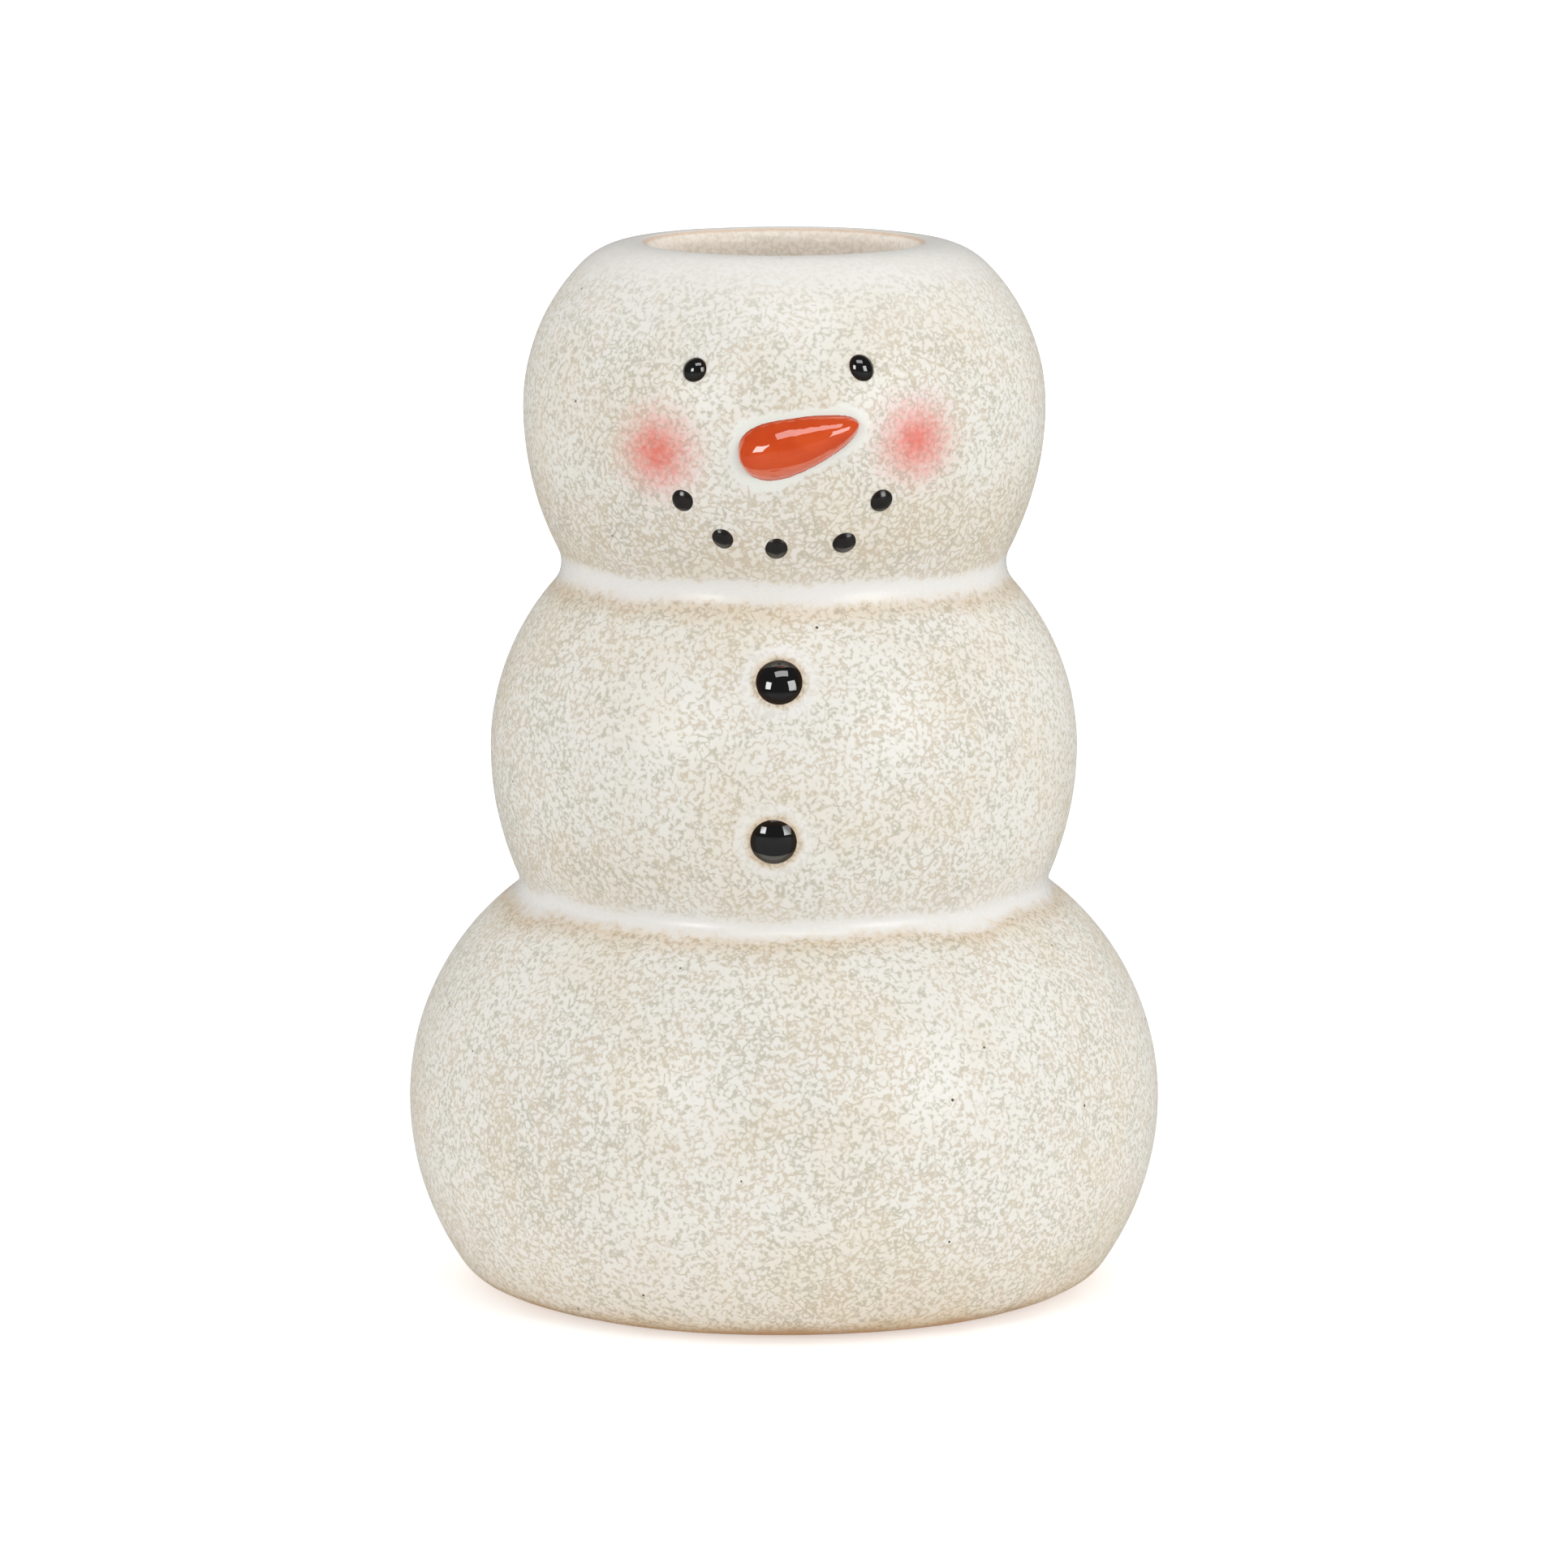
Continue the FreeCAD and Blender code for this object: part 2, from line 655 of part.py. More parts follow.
def main():
    """Builds every piece and writes each to parts/."""
    vase = make_vase_body()
    form = make_casting_form()
    pieces = [vase, *make_face(form), *make_buttons(form)]
    doc.recompute()
    check(pieces)
    os.makedirs("parts", exist_ok=True)
    for piece in pieces:
        piece.Label = piece.Name
        piece.Shape.exportStep(f"parts/{piece.Label}.step")
        box = piece.Shape.optimalBoundingBox()
        print(
            f"{piece.Label}: {piece.Shape.Volume:.1f} mm3,"
            f" {box.XLength:.2f} x {box.YLength:.2f} x {box.ZLength:.2f} mm"
        )


main()
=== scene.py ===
"""Snowman vase in speckled stoneware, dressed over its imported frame.

Sizes in the classes are in millimetres, as a potter gives them, and MM turns them into
the metres that every mesh is made in. The origin is the centre of the foot, +Z is up and
the face looks along -Y. A turn is measured about Z from the front, positive towards +X.
"""

import logging
import math
from dataclasses import dataclass, field
from enum import Enum

import bpy
import numpy as np
from mathutils import Matrix, Vector, noise


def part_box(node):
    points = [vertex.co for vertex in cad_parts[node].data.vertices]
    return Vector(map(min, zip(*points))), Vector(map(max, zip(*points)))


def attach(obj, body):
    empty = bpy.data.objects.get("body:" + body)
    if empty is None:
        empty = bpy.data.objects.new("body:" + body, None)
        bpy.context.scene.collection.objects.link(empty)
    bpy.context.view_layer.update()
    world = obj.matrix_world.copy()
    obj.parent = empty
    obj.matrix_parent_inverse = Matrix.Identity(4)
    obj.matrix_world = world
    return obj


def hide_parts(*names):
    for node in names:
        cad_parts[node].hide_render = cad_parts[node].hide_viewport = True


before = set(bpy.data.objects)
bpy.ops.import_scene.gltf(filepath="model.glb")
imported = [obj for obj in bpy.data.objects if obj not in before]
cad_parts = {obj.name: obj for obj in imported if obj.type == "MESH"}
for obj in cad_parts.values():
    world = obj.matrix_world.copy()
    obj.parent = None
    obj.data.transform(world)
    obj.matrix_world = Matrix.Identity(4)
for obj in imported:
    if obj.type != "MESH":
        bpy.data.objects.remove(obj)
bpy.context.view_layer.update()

MM = 0.001
BODY = "root"
log = logging.getLogger("vase")


def linear(code: str) -> tuple[float, float, float, float]:
    """Turns an sRGB hex colour into the linear RGBA that shaders take.

    Args:
        code: The colour as "#RRGGBB".

    Returns:
        Linear red, green and blue, with an alpha of 1.
    """
    values = [int(code[i : i + 2], 16) / 255 for i in (1, 3, 5)]
    red, green, blue = (
        v / 12.92 if v <= 0.04045 else ((v + 0.055) / 1.055) ** 2.4 for v in values
    )
    return red, green, blue, 1.0


def add(
    tree: bpy.types.NodeTree, kind: str, inputs: dict | None = None, **settings
) -> bpy.types.Node:
    """Adds a shader node to a tree with its settings, values and links.

    Args:
        tree: The node tree.
        kind: The node's type name, without its ShaderNode.
        inputs: Socket name or index to a value, or to the socket or node that feeds it. A
            node feeds it from its first output.
        **settings: Properties of the node itself.

    Returns:
        The new node.
    """
    node = tree.nodes.new(f"ShaderNode{kind}")
    for name, value in settings.items():
        setattr(node, name, value)
    for name, value in (inputs or {}).items():
        source = value.outputs[0] if isinstance(value, bpy.types.Node) else value
        if isinstance(source, bpy.types.NodeSocket):
            tree.links.new(source, node.inputs[name])
        else:
            node.inputs[name].default_value = source
    return node


def begin(name: str) -> tuple[bpy.types.Material, bpy.types.NodeTree]:
    """Starts a material.

    Args:
        name: The name of the finish.

    Returns:
        The material and its tree, which is empty.
    """
    material = bpy.data.materials.new(name)
    material.use_nodes = True
    material.node_tree.nodes.clear()
    return material, material.node_tree


# Settings that many nodes share.
SOFT = {"interpolation_type": "SMOOTHSTEP"}
COLOUR = {"data_type": "RGBA"}


class Slot(Enum):
    """The record's material slots."""

    BODY = "speckled_glaze"
    NOSE = "orange_glaze"
    BLACK = "black_glaze"


# The wall's outline


class Zone(Enum):
    """What a stretch of the wall's outline is."""

    SOLE = "sole"
    RING = "ring"
    SKIN = "skin"
    LIP = "lip"
    LINER = "liner"


@dataclass(frozen=True)
class Arc:
    """Part of a circle in the outline, from one angle to another, in radians.

    A bulging arc has the clay inside its circle, and any other has it outside.
    """

    centre: tuple[float, float]
    radius: float
    start: float
    end: float
    bulges: bool = True

    def points(self, step: float) -> np.ndarray:
        """Points along the arc.

        Args:
            step: About how far apart they are, in millimetres.

        Returns:
            The points as (radius, height) rows, ends included.
        """
        count = max(3, math.ceil(abs(self.end - self.start) * self.radius / step) + 1)
        angles = np.linspace(self.start, self.end, count)
        across = self.centre[0] + self.radius * np.cos(angles)
        return np.column_stack([across, self.centre[1] + self.radius * np.sin(angles)])

    def inset(self, wall: float) -> "Arc":
        """The same arc on the far side of a wall.

        Args:
            wall: The wall's thickness in millimetres.

        Returns:
            The arc, drawn the other way.
        """
        radius = self.radius - wall if self.bulges else self.radius + wall
        return Arc(self.centre, radius, self.end, self.start, self.bulges)


@dataclass(frozen=True)
class Outline:
    """The vase's wall in section: three balls, the creases, the rim and the foot."""

    base_radius: float = 68.5
    middle_radius: float = 53.3
    head_radius: float = 47.2
    base_level: float = 33.5
    waist_level: float = 73.0
    middle_level: float = 98.2
    neck_level: float = 131.0
    head_level: float = 160.6
    height: float = 190.0
    waist_radius: float = 47.6
    neck_radius: float = 39.0
    waist_round: float = 2.8
    neck_round: float = 6.0
    wall: float = 5.0
    mouth_radius: float = 23.8
    crest_radius: float = 26.8
    lip_round: float = 2.5
    rim_depth: float = 7.0
    throat_round: float = 1.5
    shoulder_round: float = 14.0
    foot_radius: float = 51.0
    foot_round: float = 10.5
    ring_inside: float = 45.0
    ring_edge: float = 0.8
    recess: float = 2.0
    floor_level: float = 7.5
    floor_round: float = 9.0

    @staticmethod
    def _to_crease(ball: tuple[float, float], crease: tuple[float, float]) -> Arc:
        """Finds an arc that is upright at a ball's widest point and passes a crease.

        Args:
            ball: The widest point, as (radius, height).
            crease: The crease, as (radius, height).

        Returns:
            The arc between the two, drawn upwards.
        """
        widest, level = ball
        step, rise = widest - crease[0], crease[1] - level
        radius = (step**2 + rise**2) / (2 * step)
        centre = (widest - radius, level)
        lean = math.atan2(rise, crease[0] - centre[0])
        return Arc(centre, radius, min(lean, 0.0), max(lean, 0.0))

    @staticmethod
    def _to_round(ball: tuple[float, float], centre: tuple[float, float], turn: float) -> Arc:
        """Finds an arc that is upright at a ball's widest point and runs into a round.

        Args:
            ball: The widest point, as (radius, height).
            centre: The round's centre, as (radius, height).
            turn: The round's radius.

        Returns:
            The arc between the two, drawn upwards.
        """
        widest, level = ball
        step, rise = widest - centre[0], centre[1] - level
        radius = (step**2 + rise**2 - turn**2) / (2 * (step - turn))
        lean = math.atan2(rise, centre[0] - widest + radius)
        return Arc((widest - radius, level), radius, min(lean, 0.0), max(lean, 0.0))

    @staticmethod
    def _crease(lower: Arc, upper: Arc, round_: float) -> list[Arc]:
        """Rounds the crease between two balls.

        Args:
            lower: The arc that rises to the crease.
            upper: The arc that rises from it.
            round_: The crease's radius.

        Returns:
            The lower arc cut short, the crease, and the upper arc cut short.
        """
        a, b = Vector(lower.centre), Vector(upper.centre)
        low, high = lower.radius + round_, upper.radius + round_
        gap = b - a
        along = (low**2 - high**2 + gap.length_squared) / (2 * gap.length)
        aside = math.sqrt(low**2 - along**2)
        unit = gap.normalized()
        centre = a + unit * along + Vector((unit.y, -unit.x)) * aside
        from_a, from_b = centre - a, centre - b
        lean_a = math.atan2(from_a.y, from_a.x)
        lean_b = math.atan2(from_b.y, from_b.x)
        return [
            Arc(lower.centre, lower.radius, lower.start, lean_a),
            Arc(tuple(centre), round_, math.pi + lean_a, math.pi + lean_b, False),
            Arc(upper.centre, upper.radius, lean_b, upper.end),
        ]

    def skin(self) -> list[Arc]:
        """The outer skin.

        Returns:
            Its arcs, from the foot's ring up to the crest of the rim.
        """
        foot = (self.foot_radius, self.foot_round)
        crest = (self.crest_radius, self.height - self.shoulder_round)
        base = (self.base_radius, self.base_level)
        middle = (self.middle_radius, self.middle_level)
        head = (self.head_radius, self.head_level)
        arcs = [self._to_round(base, foot, self.foot_round)]
        creases = (
            (base, (self.waist_radius, self.waist_level), middle, self.waist_round),
            (middle, (self.neck_radius, self.neck_level), head, self.neck_round),
        )
        for lower, crease, upper, round_ in creases:
            rising = self._to_crease(lower, crease)
            arcs += self._crease(rising, self._to_crease(upper, crease), round_)
        arcs.append(self._to_round(head, crest, self.shoulder_round))
        return [
            Arc(foot, self.foot_round, -math.pi / 2, arcs[0].start),
            *arcs,
            Arc(crest, self.shoulder_round, arcs[-1].end, math.pi / 2),
        ]

    def inside(self) -> list[Arc]:
        """The inner wall, which is the skin moved in by the wall.

        Returns:
            Its arcs, from under the rim down to the floor.
        """
        skin = self.skin()
        ceiling = self.height - self.rim_depth
        head = skin[-2].inset(self.wall)
        turn = self.shoulder_round - self.wall
        drop = ceiling - turn - head.centre[1]
        reach = math.sqrt((head.radius - turn) ** 2 - drop**2)
        lean = math.atan2(drop, reach)
        shoulder = (head.centre[0] + reach, ceiling - turn)
        base = skin[1].inset(self.wall)
        corner_level = self.floor_level + self.floor_round
        fall = corner_level - base.centre[1]
        across = math.sqrt((base.radius - self.floor_round) ** 2 - fall**2)
        low_lean = math.atan2(fall, across)
        corner = (base.centre[0] + across, corner_level)
        return [
            Arc(shoulder, turn, math.pi / 2, lean),
            Arc(head.centre, head.radius, lean, 0.0),
            *[arc.inset(self.wall) for arc in reversed(skin[2:-2])],
            Arc(base.centre, base.radius, 0.0, low_lean),
            Arc(corner, self.floor_round, low_lean, -math.pi / 2),
        ]

    def section(self) -> list[tuple[np.ndarray, Zone]]:
        """The whole wall as stretches of (radius, height) points, in order.

        The number after each line or arc is the step between its points.

        Returns:
            Stretches with their zones, from the middle of the sole, out, up the skin, over
            the lip, down the inside and in to the middle of the floor.
        """

        def run(start: tuple[float, float], end: tuple[float, float], step: float) -> np.ndarray:
            """Points along a straight line, about one step apart."""
            count = max(2, math.ceil(math.dist(start, end) / step) + 1)
            return np.linspace(start, end, count)

        edge, lip, throat = self.ring_edge, self.lip_round, self.throat_round
        ring, mouth, top = self.ring_inside, self.mouth_radius, self.height
        ceiling, floor = top - self.rim_depth, self.floor_level
        skin, inside = self.skin(), self.inside()
        quarter = math.pi / 2
        return [
            (run((0, self.recess), (ring - 0.4, self.recess), 6.0), Zone.SOLE),
            (run((ring, self.recess - 0.4), (ring, edge), 0.6), Zone.SOLE),
            (Arc((ring + edge, edge), edge, 2 * quarter, 3 * quarter).points(0.4), Zone.RING),
            (run((ring + edge + 0.8, 0), (self.foot_radius - 0.8, 0), 1.4), Zone.RING),
            *[(arc.points(1.0 if arc.bulges else 0.7), Zone.SKIN) for arc in skin],
            (Arc((mouth + lip, top - lip), lip, quarter, 2 * quarter).points(0.45), Zone.LIP),
            (run((mouth, top - lip - 0.5), (mouth, ceiling + throat + 0.5), 1.0), Zone.LINER),
            (
                Arc((mouth + throat, ceiling + throat), throat, 2 * quarter, 3 * quarter, False)
                .points(0.6),
                Zone.LINER,
            ),
            *[(arc.points(3.2), Zone.LINER) for arc in inside],
            (run((inside[-1].centre[0] - 3, floor), (0, floor), 7.0), Zone.LINER),
        ]


@dataclass
class Seat:
    """A place on the skin: its turn in radians, and the point and normal in section."""

    turn: float
    point: tuple[float, float]
    normal: tuple[float, float]

    @property
    def matrix(self) -> Matrix:
        """The seat's own axes.

        Returns:
            Axes in columns: sideways to +X, uphill and outward, then the point, in mm.
        """
        s, c = math.sin(self.turn), math.cos(self.turn)
        (across, level), (out, up) = self.point, self.normal
        ahead = Vector((s, -c, 0))
        outward = ahead * out + Vector((0, 0, up))
        uphill = Vector((0, 0, out)) - ahead * up
        axes = Matrix((Vector((c, s, 0)), uphill, outward)).transposed().to_4x4()
        return Matrix.Translation(ahead * across + Vector((0, 0, level))) @ axes


class Skin:
    """The outer skin as a fine line of points, to seat pieces on and measure from."""

    def __init__(self, outline: Outline) -> None:
        """Samples the outline's skin finely.

        Args:
            outline: The wall's outline.
        """
        points, normals = [], []
        for arc in outline.skin():
            run = arc.points(0.1)[:-1]
            away = (run - np.array(arc.centre)) / arc.radius
            points.append(run)
            normals.append(away if arc.bulges else -away)
        self.points = np.vstack(points)
        self.normals = np.vstack(normals)

    def under(self, place: Vector) -> Seat:
        """Finds the seat nearest a place.

        Args:
            place: The place, in millimetres.

        Returns:
            The point of the skin nearest to it, as a seat.
        """
        here = np.array([math.hypot(place.x, place.y), place.z])
        nearest = int(((self.points - here) ** 2).sum(1).argmin())
        turn = math.atan2(place.x, -place.y)
        return Seat(turn, tuple(self.points[nearest]), tuple(self.normals[nearest]))

    def under_node(self, node: str) -> Seat:
        """The seat of a piece's node, from the middle of the node's box."""
        low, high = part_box(node)
        return self.under((low + high) / 2 / MM)


# Finishes


@dataclass(frozen=True)
class Bar:
    """A tapered bar with round ends, in millimetres: its axis and its two radii."""

    root: Vector
    tip: Vector
    root_radius: float
    tip_radius: float

    def distance(self, place: Vector) -> float:
        """How far a place is from the bar's side.

        Args:
            place: The place, in millimetres.

        Returns:
            The distance in millimetres, less than 0 inside the bar.
        """
        axis = self.tip - self.root
        along = min(1.0, max(0.0, (place - self.root).dot(axis) / axis.length_squared))
        radius = self.root_radius + (self.tip_radius - self.root_radius) * along
        return (place - self.root - axis * along).length - radius


@dataclass(frozen=True)
class Face:
    """Where the pieces and the blush lie, as the glaze has to part round them."""

    nose: Bar
    buttons: tuple[Vector, ...]
    button_radius: float
    dots: tuple[Vector, ...]
    cheeks: tuple[Vector, ...]


@dataclass(frozen=True)
class Grain:
    """A noise in a glaze: how wide its swells are, in millimetres, and how it is mixed."""

    name: str
    width: float
    detail: float
    rough: float = 0.5
    twist: float = 0.0


@dataclass(frozen=True)
class SpeckledGlaze:
    """Satin white reactive glaze on buff stoneware, dipped, fired in oxidation.

    The iron in the body bleeds up through the white glaze as short tan and olive-grey
    strokes, a millimetre and a bit long. Where the glaze pools thick, in the creases and
    round what is pressed on, it stays clean and white. Where it runs thin, just under
    each crease, at the rim and the foot, it breaks to tan. Lengths are in millimetres.
    """

    face: Face
    height: float
    index: float = 1.5
    satin: float = 0.38
    glassy: float = 0.24
    dry: float = 0.5
    dip: float = 0.03
    halo_inner: float = 1.1
    halo_outer: float = 2.4
    tan_ring: float = 1.5
    white_ring: float = 1.9
    cheek_reach: float = 12.5
    stroke_edge: float = 0.46
    stroke_share: float = 0.55
    speck_gap: float = 6.0
    speck_share: float = 0.055
    white: str = "#EFECE4"
    cream: str = "#EDE8DC"
    pooled: str = "#F2F0ED"
    olive: str = "#A69C7A"
    tan: str = "#BBA681"
    broken: str = "#EEDCC6"
    halo: str = "#F2F7EC"
    clay: str = "#C49B74"
    # The inner glaze: its peach tint is its own, but it is lighter than the outer white, painted
    # light that stands in for light reaching down inside the mouth.
    liner: str = "#FAF0E3"
    lip: str = "#F2D9C4"
    iron: str = "#4F463B"
    blush: str = "#FF8E85"
    # Widths from real ones: strokes 1.3 mm long, which the gaps break up a little finer,
    # clouds of them 32 mm wide, and an orange peel of 3 mm.
    grains: tuple[Grain, ...] = (
        Grain("ragged", 1.7, 1.0),
        Grain("drift", 16.0, 2.0),
        Grain("cloud", 32.0, 4.0, rough=0.6),
        Grain("curl", 1.3, 1.0, twist=0.25),
        Grain("gaps", 1.3 / 1.35, 1.0),
        Grain("spray", 0.9, 1.0),
        Grain("warm", 22.0, 3.0),
        Grain("hue", 8.0, 2.0),
        Grain("peel", 3.0, 3.0),
    )
    # Level, then how pooled, how broken and how crowded with strokes the glaze is there.
    run: tuple[tuple[float, float, float, float], ...] = (
        (0.0, 0.0, 1.0, 0.6),
        (2.2, 0.0, 1.0, 0.6),
        (4.8, 0.0, 0.35, 0.7),
        (12.0, 0.0, 0.12, 0.7),
        (24.0, 0.0, 0.0, 0.4),
        (50.0, 0.0, 0.0, 0.2),
        (67.6, 0.0, 0.0, 0.3),
        (69.4, 0.0, 0.3, 0.3),
        (70.6, 0.0, 0.7, 0.2),
        (71.4, 0.7, 0.3, 0.0),
        (72.2, 1.0, 0.0, 0.0),
        (73.8, 0.9, 0.0, 0.0),
        (75.2, 0.15, 0.0, 0.9),
        (80.0, 0.0, 0.0, 0.9),
        (88.0, 0.0, 0.0, 0.4),
        (112.0, 0.0, 0.0, 0.1),
        (125.4, 0.0, 0.0, 0.2),
        (127.0, 0.0, 0.4, 0.2),
        (128.6, 0.0, 0.6, 0.2),
        (129.6, 0.7, 0.2, 0.0),
        (131.0, 1.0, 0.0, 0.0),
        (132.8, 0.9, 0.0, 0.0),
        # Under the head, from 134 to 140, the strokes crowd and the glaze breaks a little: partly
        # the dense speckle there, partly painted shade under the head's overhang.
        (134.0, 0.1, 0.15, 2.4),
        (140.0, 0.0, 0.15, 2.8),
        (151.0, 0.0, 0.0, 0.4),
        (172.0, 0.0, 0.0, 0.2),
        (184.0, 0.2, 0.0, 0.0),
        (188.0, 0.7, 0.0, 0.0),
    )

    def _from_nose(self, tree: bpy.types.NodeTree, place: bpy.types.Node) -> bpy.types.Node:
        """The distance from the side of the nose.

        Args:
            tree: The material's nodes.
            place: The position in millimetres.

        Returns:
            The node that gives the distance in millimetres.
        """
        bar = self.face.nose
        axis = bar.tip - bar.root
        off = add(tree, "VectorMath", {0: place, 1: bar.root}, operation="SUBTRACT")
        along = add(
            tree, "VectorMath", {0: off, 1: axis / axis.length_squared}, operation="DOT_PRODUCT"
        )
        along = add(tree, "Clamp", {0: along.outputs["Value"]})
        near = add(tree, "VectorMath", {0: axis, "Scale": along}, operation="SCALE")
        gap = add(tree, "VectorMath", {0: off, 1: near}, operation="DISTANCE")
        radius = add(
            tree, "Math", {0: along, 1: bar.tip_radius - bar.root_radius, 2: bar.root_radius},
            operation="MULTIPLY_ADD",
        )
        return add(tree, "Math", {0: gap.outputs["Value"], 1: radius}, operation="SUBTRACT")

    def _from_nearest(
        self, tree: bpy.types.NodeTree, place: bpy.types.Node, points: tuple[Vector, ...]
    ) -> bpy.types.Node:
        """The distance to the nearest of two points.

        Args:
            tree: The material's nodes.
            place: The position in millimetres.
            points: The two points, in millimetres.

        Returns:
            The node that gives the distance in millimetres.
        """
        gaps = [
            add(tree, "VectorMath", {0: place, 1: point}, operation="DISTANCE").outputs["Value"]
            for point in points
        ]
        return add(tree, "Math", dict(enumerate(gaps)), operation="MINIMUM")

    def _depth(
        self, tree: bpy.types.NodeTree, place: bpy.types.Node, noises: dict[str, bpy.types.Node]
    ) -> tuple[bpy.types.Node, bpy.types.Node, bpy.types.NodeSocket, bpy.types.Node]:
        """Where the glaze lies thick and thin.

        Args:
            tree: The material's nodes.
            place: The position in millimetres.
            noises: The glaze's noises by name.

        Returns:
            Masks of how pooled, how broken and how crowded with strokes the glaze is, and
            of the halo round the nose.
        """
        ragged = noises["ragged"]
        level = add(tree, "SeparateXYZ", {0: place}).outputs[2]
        for name, sway in (("drift", 1.0), ("ragged", 0.9)):
            level = add(
                tree, "Math", {0: noises[name], 1: sway, 2: level}, operation="MULTIPLY_ADD"
            )
        share = add(tree, "Math", {0: level, 1: self.height}, operation="DIVIDE")
        ramp = add(tree, "ValToRGB", {0: share})
        stops = ramp.color_ramp.elements
        for stop in self.run[len(stops) :]:
            stops.new(stop[0] / self.height)
        for element, stop in zip(stops, self.run):
            element.position = stop[0] / self.height
            element.color = (*stop[1:], 1.0)
        bands = add(tree, "SeparateColor", {0: ramp})

        # The halo round the nose, and round each button a thin tan ring inside a white one.
        nose = self._from_nose(tree, place)
        nose = add(tree, "Math", {0: ragged, 1: 0.7, 2: nose}, operation="MULTIPLY_ADD")
        nose = add(
            tree, "MapRange", {0: nose, 1: self.halo_inner, 2: self.halo_outer, 3: 1.0, 4: 0.0},
            **SOFT,
        )
        edge = self.face.button_radius
        button = self._from_nearest(tree, place, self.face.buttons)
        button = add(tree, "Math", {0: ragged, 1: 0.35, 2: button}, operation="MULTIPLY_ADD")
        inner = add(
            tree, "MapRange", {0: button, 1: edge, 2: edge + self.tan_ring, 3: 0.8, 4: 0.0},
            **SOFT,
        )
        ring = add(tree, "Math", {0: button, 1: edge + self.white_ring}, operation="SUBTRACT")
        ring = add(tree, "Math", {0: ring}, operation="ABSOLUTE")
        ring = add(tree, "MapRange", {0: ring, 1: 0.4, 2: 1.6, 3: 0.5, 4: 0.0}, **SOFT)
        pooled = add(tree, "Math", {0: bands.outputs[0], 1: nose}, operation="MAXIMUM")
        pooled = add(tree, "Math", {0: pooled, 1: ring}, operation="MAXIMUM")
        broken = add(tree, "Math", {0: bands.outputs[1], 1: inner}, operation="MAXIMUM")
        return pooled, broken, bands.outputs[2], nose

    def _strokes(
        self, tree: bpy.types.NodeTree, noises: dict[str, bpy.types.Node], crowded: bpy.types.Node
    ) -> bpy.types.Node:
        """The strokes of the speckle.

        They are the level lines of a noise, so they curl and keep one width, and a second
        noise breaks them up.

        Args:
            tree: The material's nodes.
            noises: The glaze's noises by name.
            crowded: How thickly the strokes lie.

        Returns:
            The node that is 1 in the middle of a stroke and 0 between strokes.
        """
        curl = add(tree, "Math", {0: noises["curl"]}, operation="ABSOLUTE")
        curl = add(
            tree, "MapRange", {0: curl, 1: 0.0, 2: self.stroke_edge, 3: 1.0, 4: 0.0}, **SOFT
        )
        gaps = add(
            tree, "Math", {0: crowded, 1: 0.20, 2: noises["gaps"]}, operation="MULTIPLY_ADD"
        )
        gaps = add(tree, "MapRange", {0: gaps, 1: -0.45, 2: 0.25}, **SOFT)
        return add(tree, "Math", {0: curl, 1: gaps}, operation="MULTIPLY")

    def _cheeks(
        self, tree: bpy.types.NodeTree, place: bpy.types.Node, spray: bpy.types.Node
    ) -> bpy.types.Node:
        """The cheeks, which are sprayed on, so they are grainy and fade without an edge.

        Args:
            tree: The material's nodes.
            place: The position in millimetres.
            spray: Fine noise, for the grain of the spray.

        Returns:
            The node that is 1 in the middle of a cheek and 0 away from it.
        """
        cheek = self._from_nearest(tree, place, self.face.cheeks)
        cheek = add(tree, "Math", {0: spray, 1: 2.0, 2: cheek}, operation="MULTIPLY_ADD")
        cheek = add(
            tree, "MapRange", {0: cheek, 1: -1.0, 2: self.cheek_reach, 3: 1.0, 4: 0.0}, **SOFT
        )
        return add(tree, "Math", {0: cheek, 1: 1.3}, operation="POWER")

    def _specks(
        self, tree: bpy.types.NodeTree, place: bpy.types.Node, clean: bpy.types.Node
    ) -> bpy.types.Node:
        """Iron specks, up to two thirds of a millimetre across and centimetres apart.

        Args:
            tree: The material's nodes.
            place: The position in millimetres.
            clean: How much of the body's colour comes through.

        Returns:
            The node that is 1 on a speck and 0 elsewhere, and less than 1 on a veiled one.
        """
        cells = add(tree, "TexVoronoi", {"Vector": place, "Scale": 1 / self.speck_gap})
        chance = add(tree, "SeparateColor", {0: cells.outputs["Color"]})
        size = add(
            tree, "MapRange", {0: chance, 1: 0.4, 2: 1.0, 3: 0.0, 4: self.speck_share}
        )
        speck = add(
            tree, "Math", {0: cells.outputs["Distance"], 1: size}, operation="LESS_THAN"
        )
        return add(tree, "Math", {0: speck, 1: clean}, operation="MULTIPLY")

    def build(self) -> bpy.types.Material:
        """Makes the material.

        Returns:
            The glaze, which reads two attributes of the wall: liner and bare.
        """
        material, tree = begin("Speckled white satin glaze on stoneware")
        coords = add(tree, "TexCoord")
        place = add(
            tree, "VectorMath", {0: coords.outputs["Object"], "Scale": 1 / MM}, operation="SCALE"
        )
        liner = add(tree, "Attribute", attribute_name="liner").outputs["Fac"]
        bare = add(tree, "Attribute", attribute_name="bare").outputs["Fac"]
        noises = {}
        for grain in self.grains:
            mix = {"Detail": grain.detail, "Roughness": grain.rough, "Distortion": grain.twist}
            noises[grain.name] = add(
                tree, "TexNoise", {"Vector": place, "Scale": 1 / grain.width, **mix},
                normalize=False,
            )
        pooled, broken, crowded, halo = self._depth(tree, place, noises)

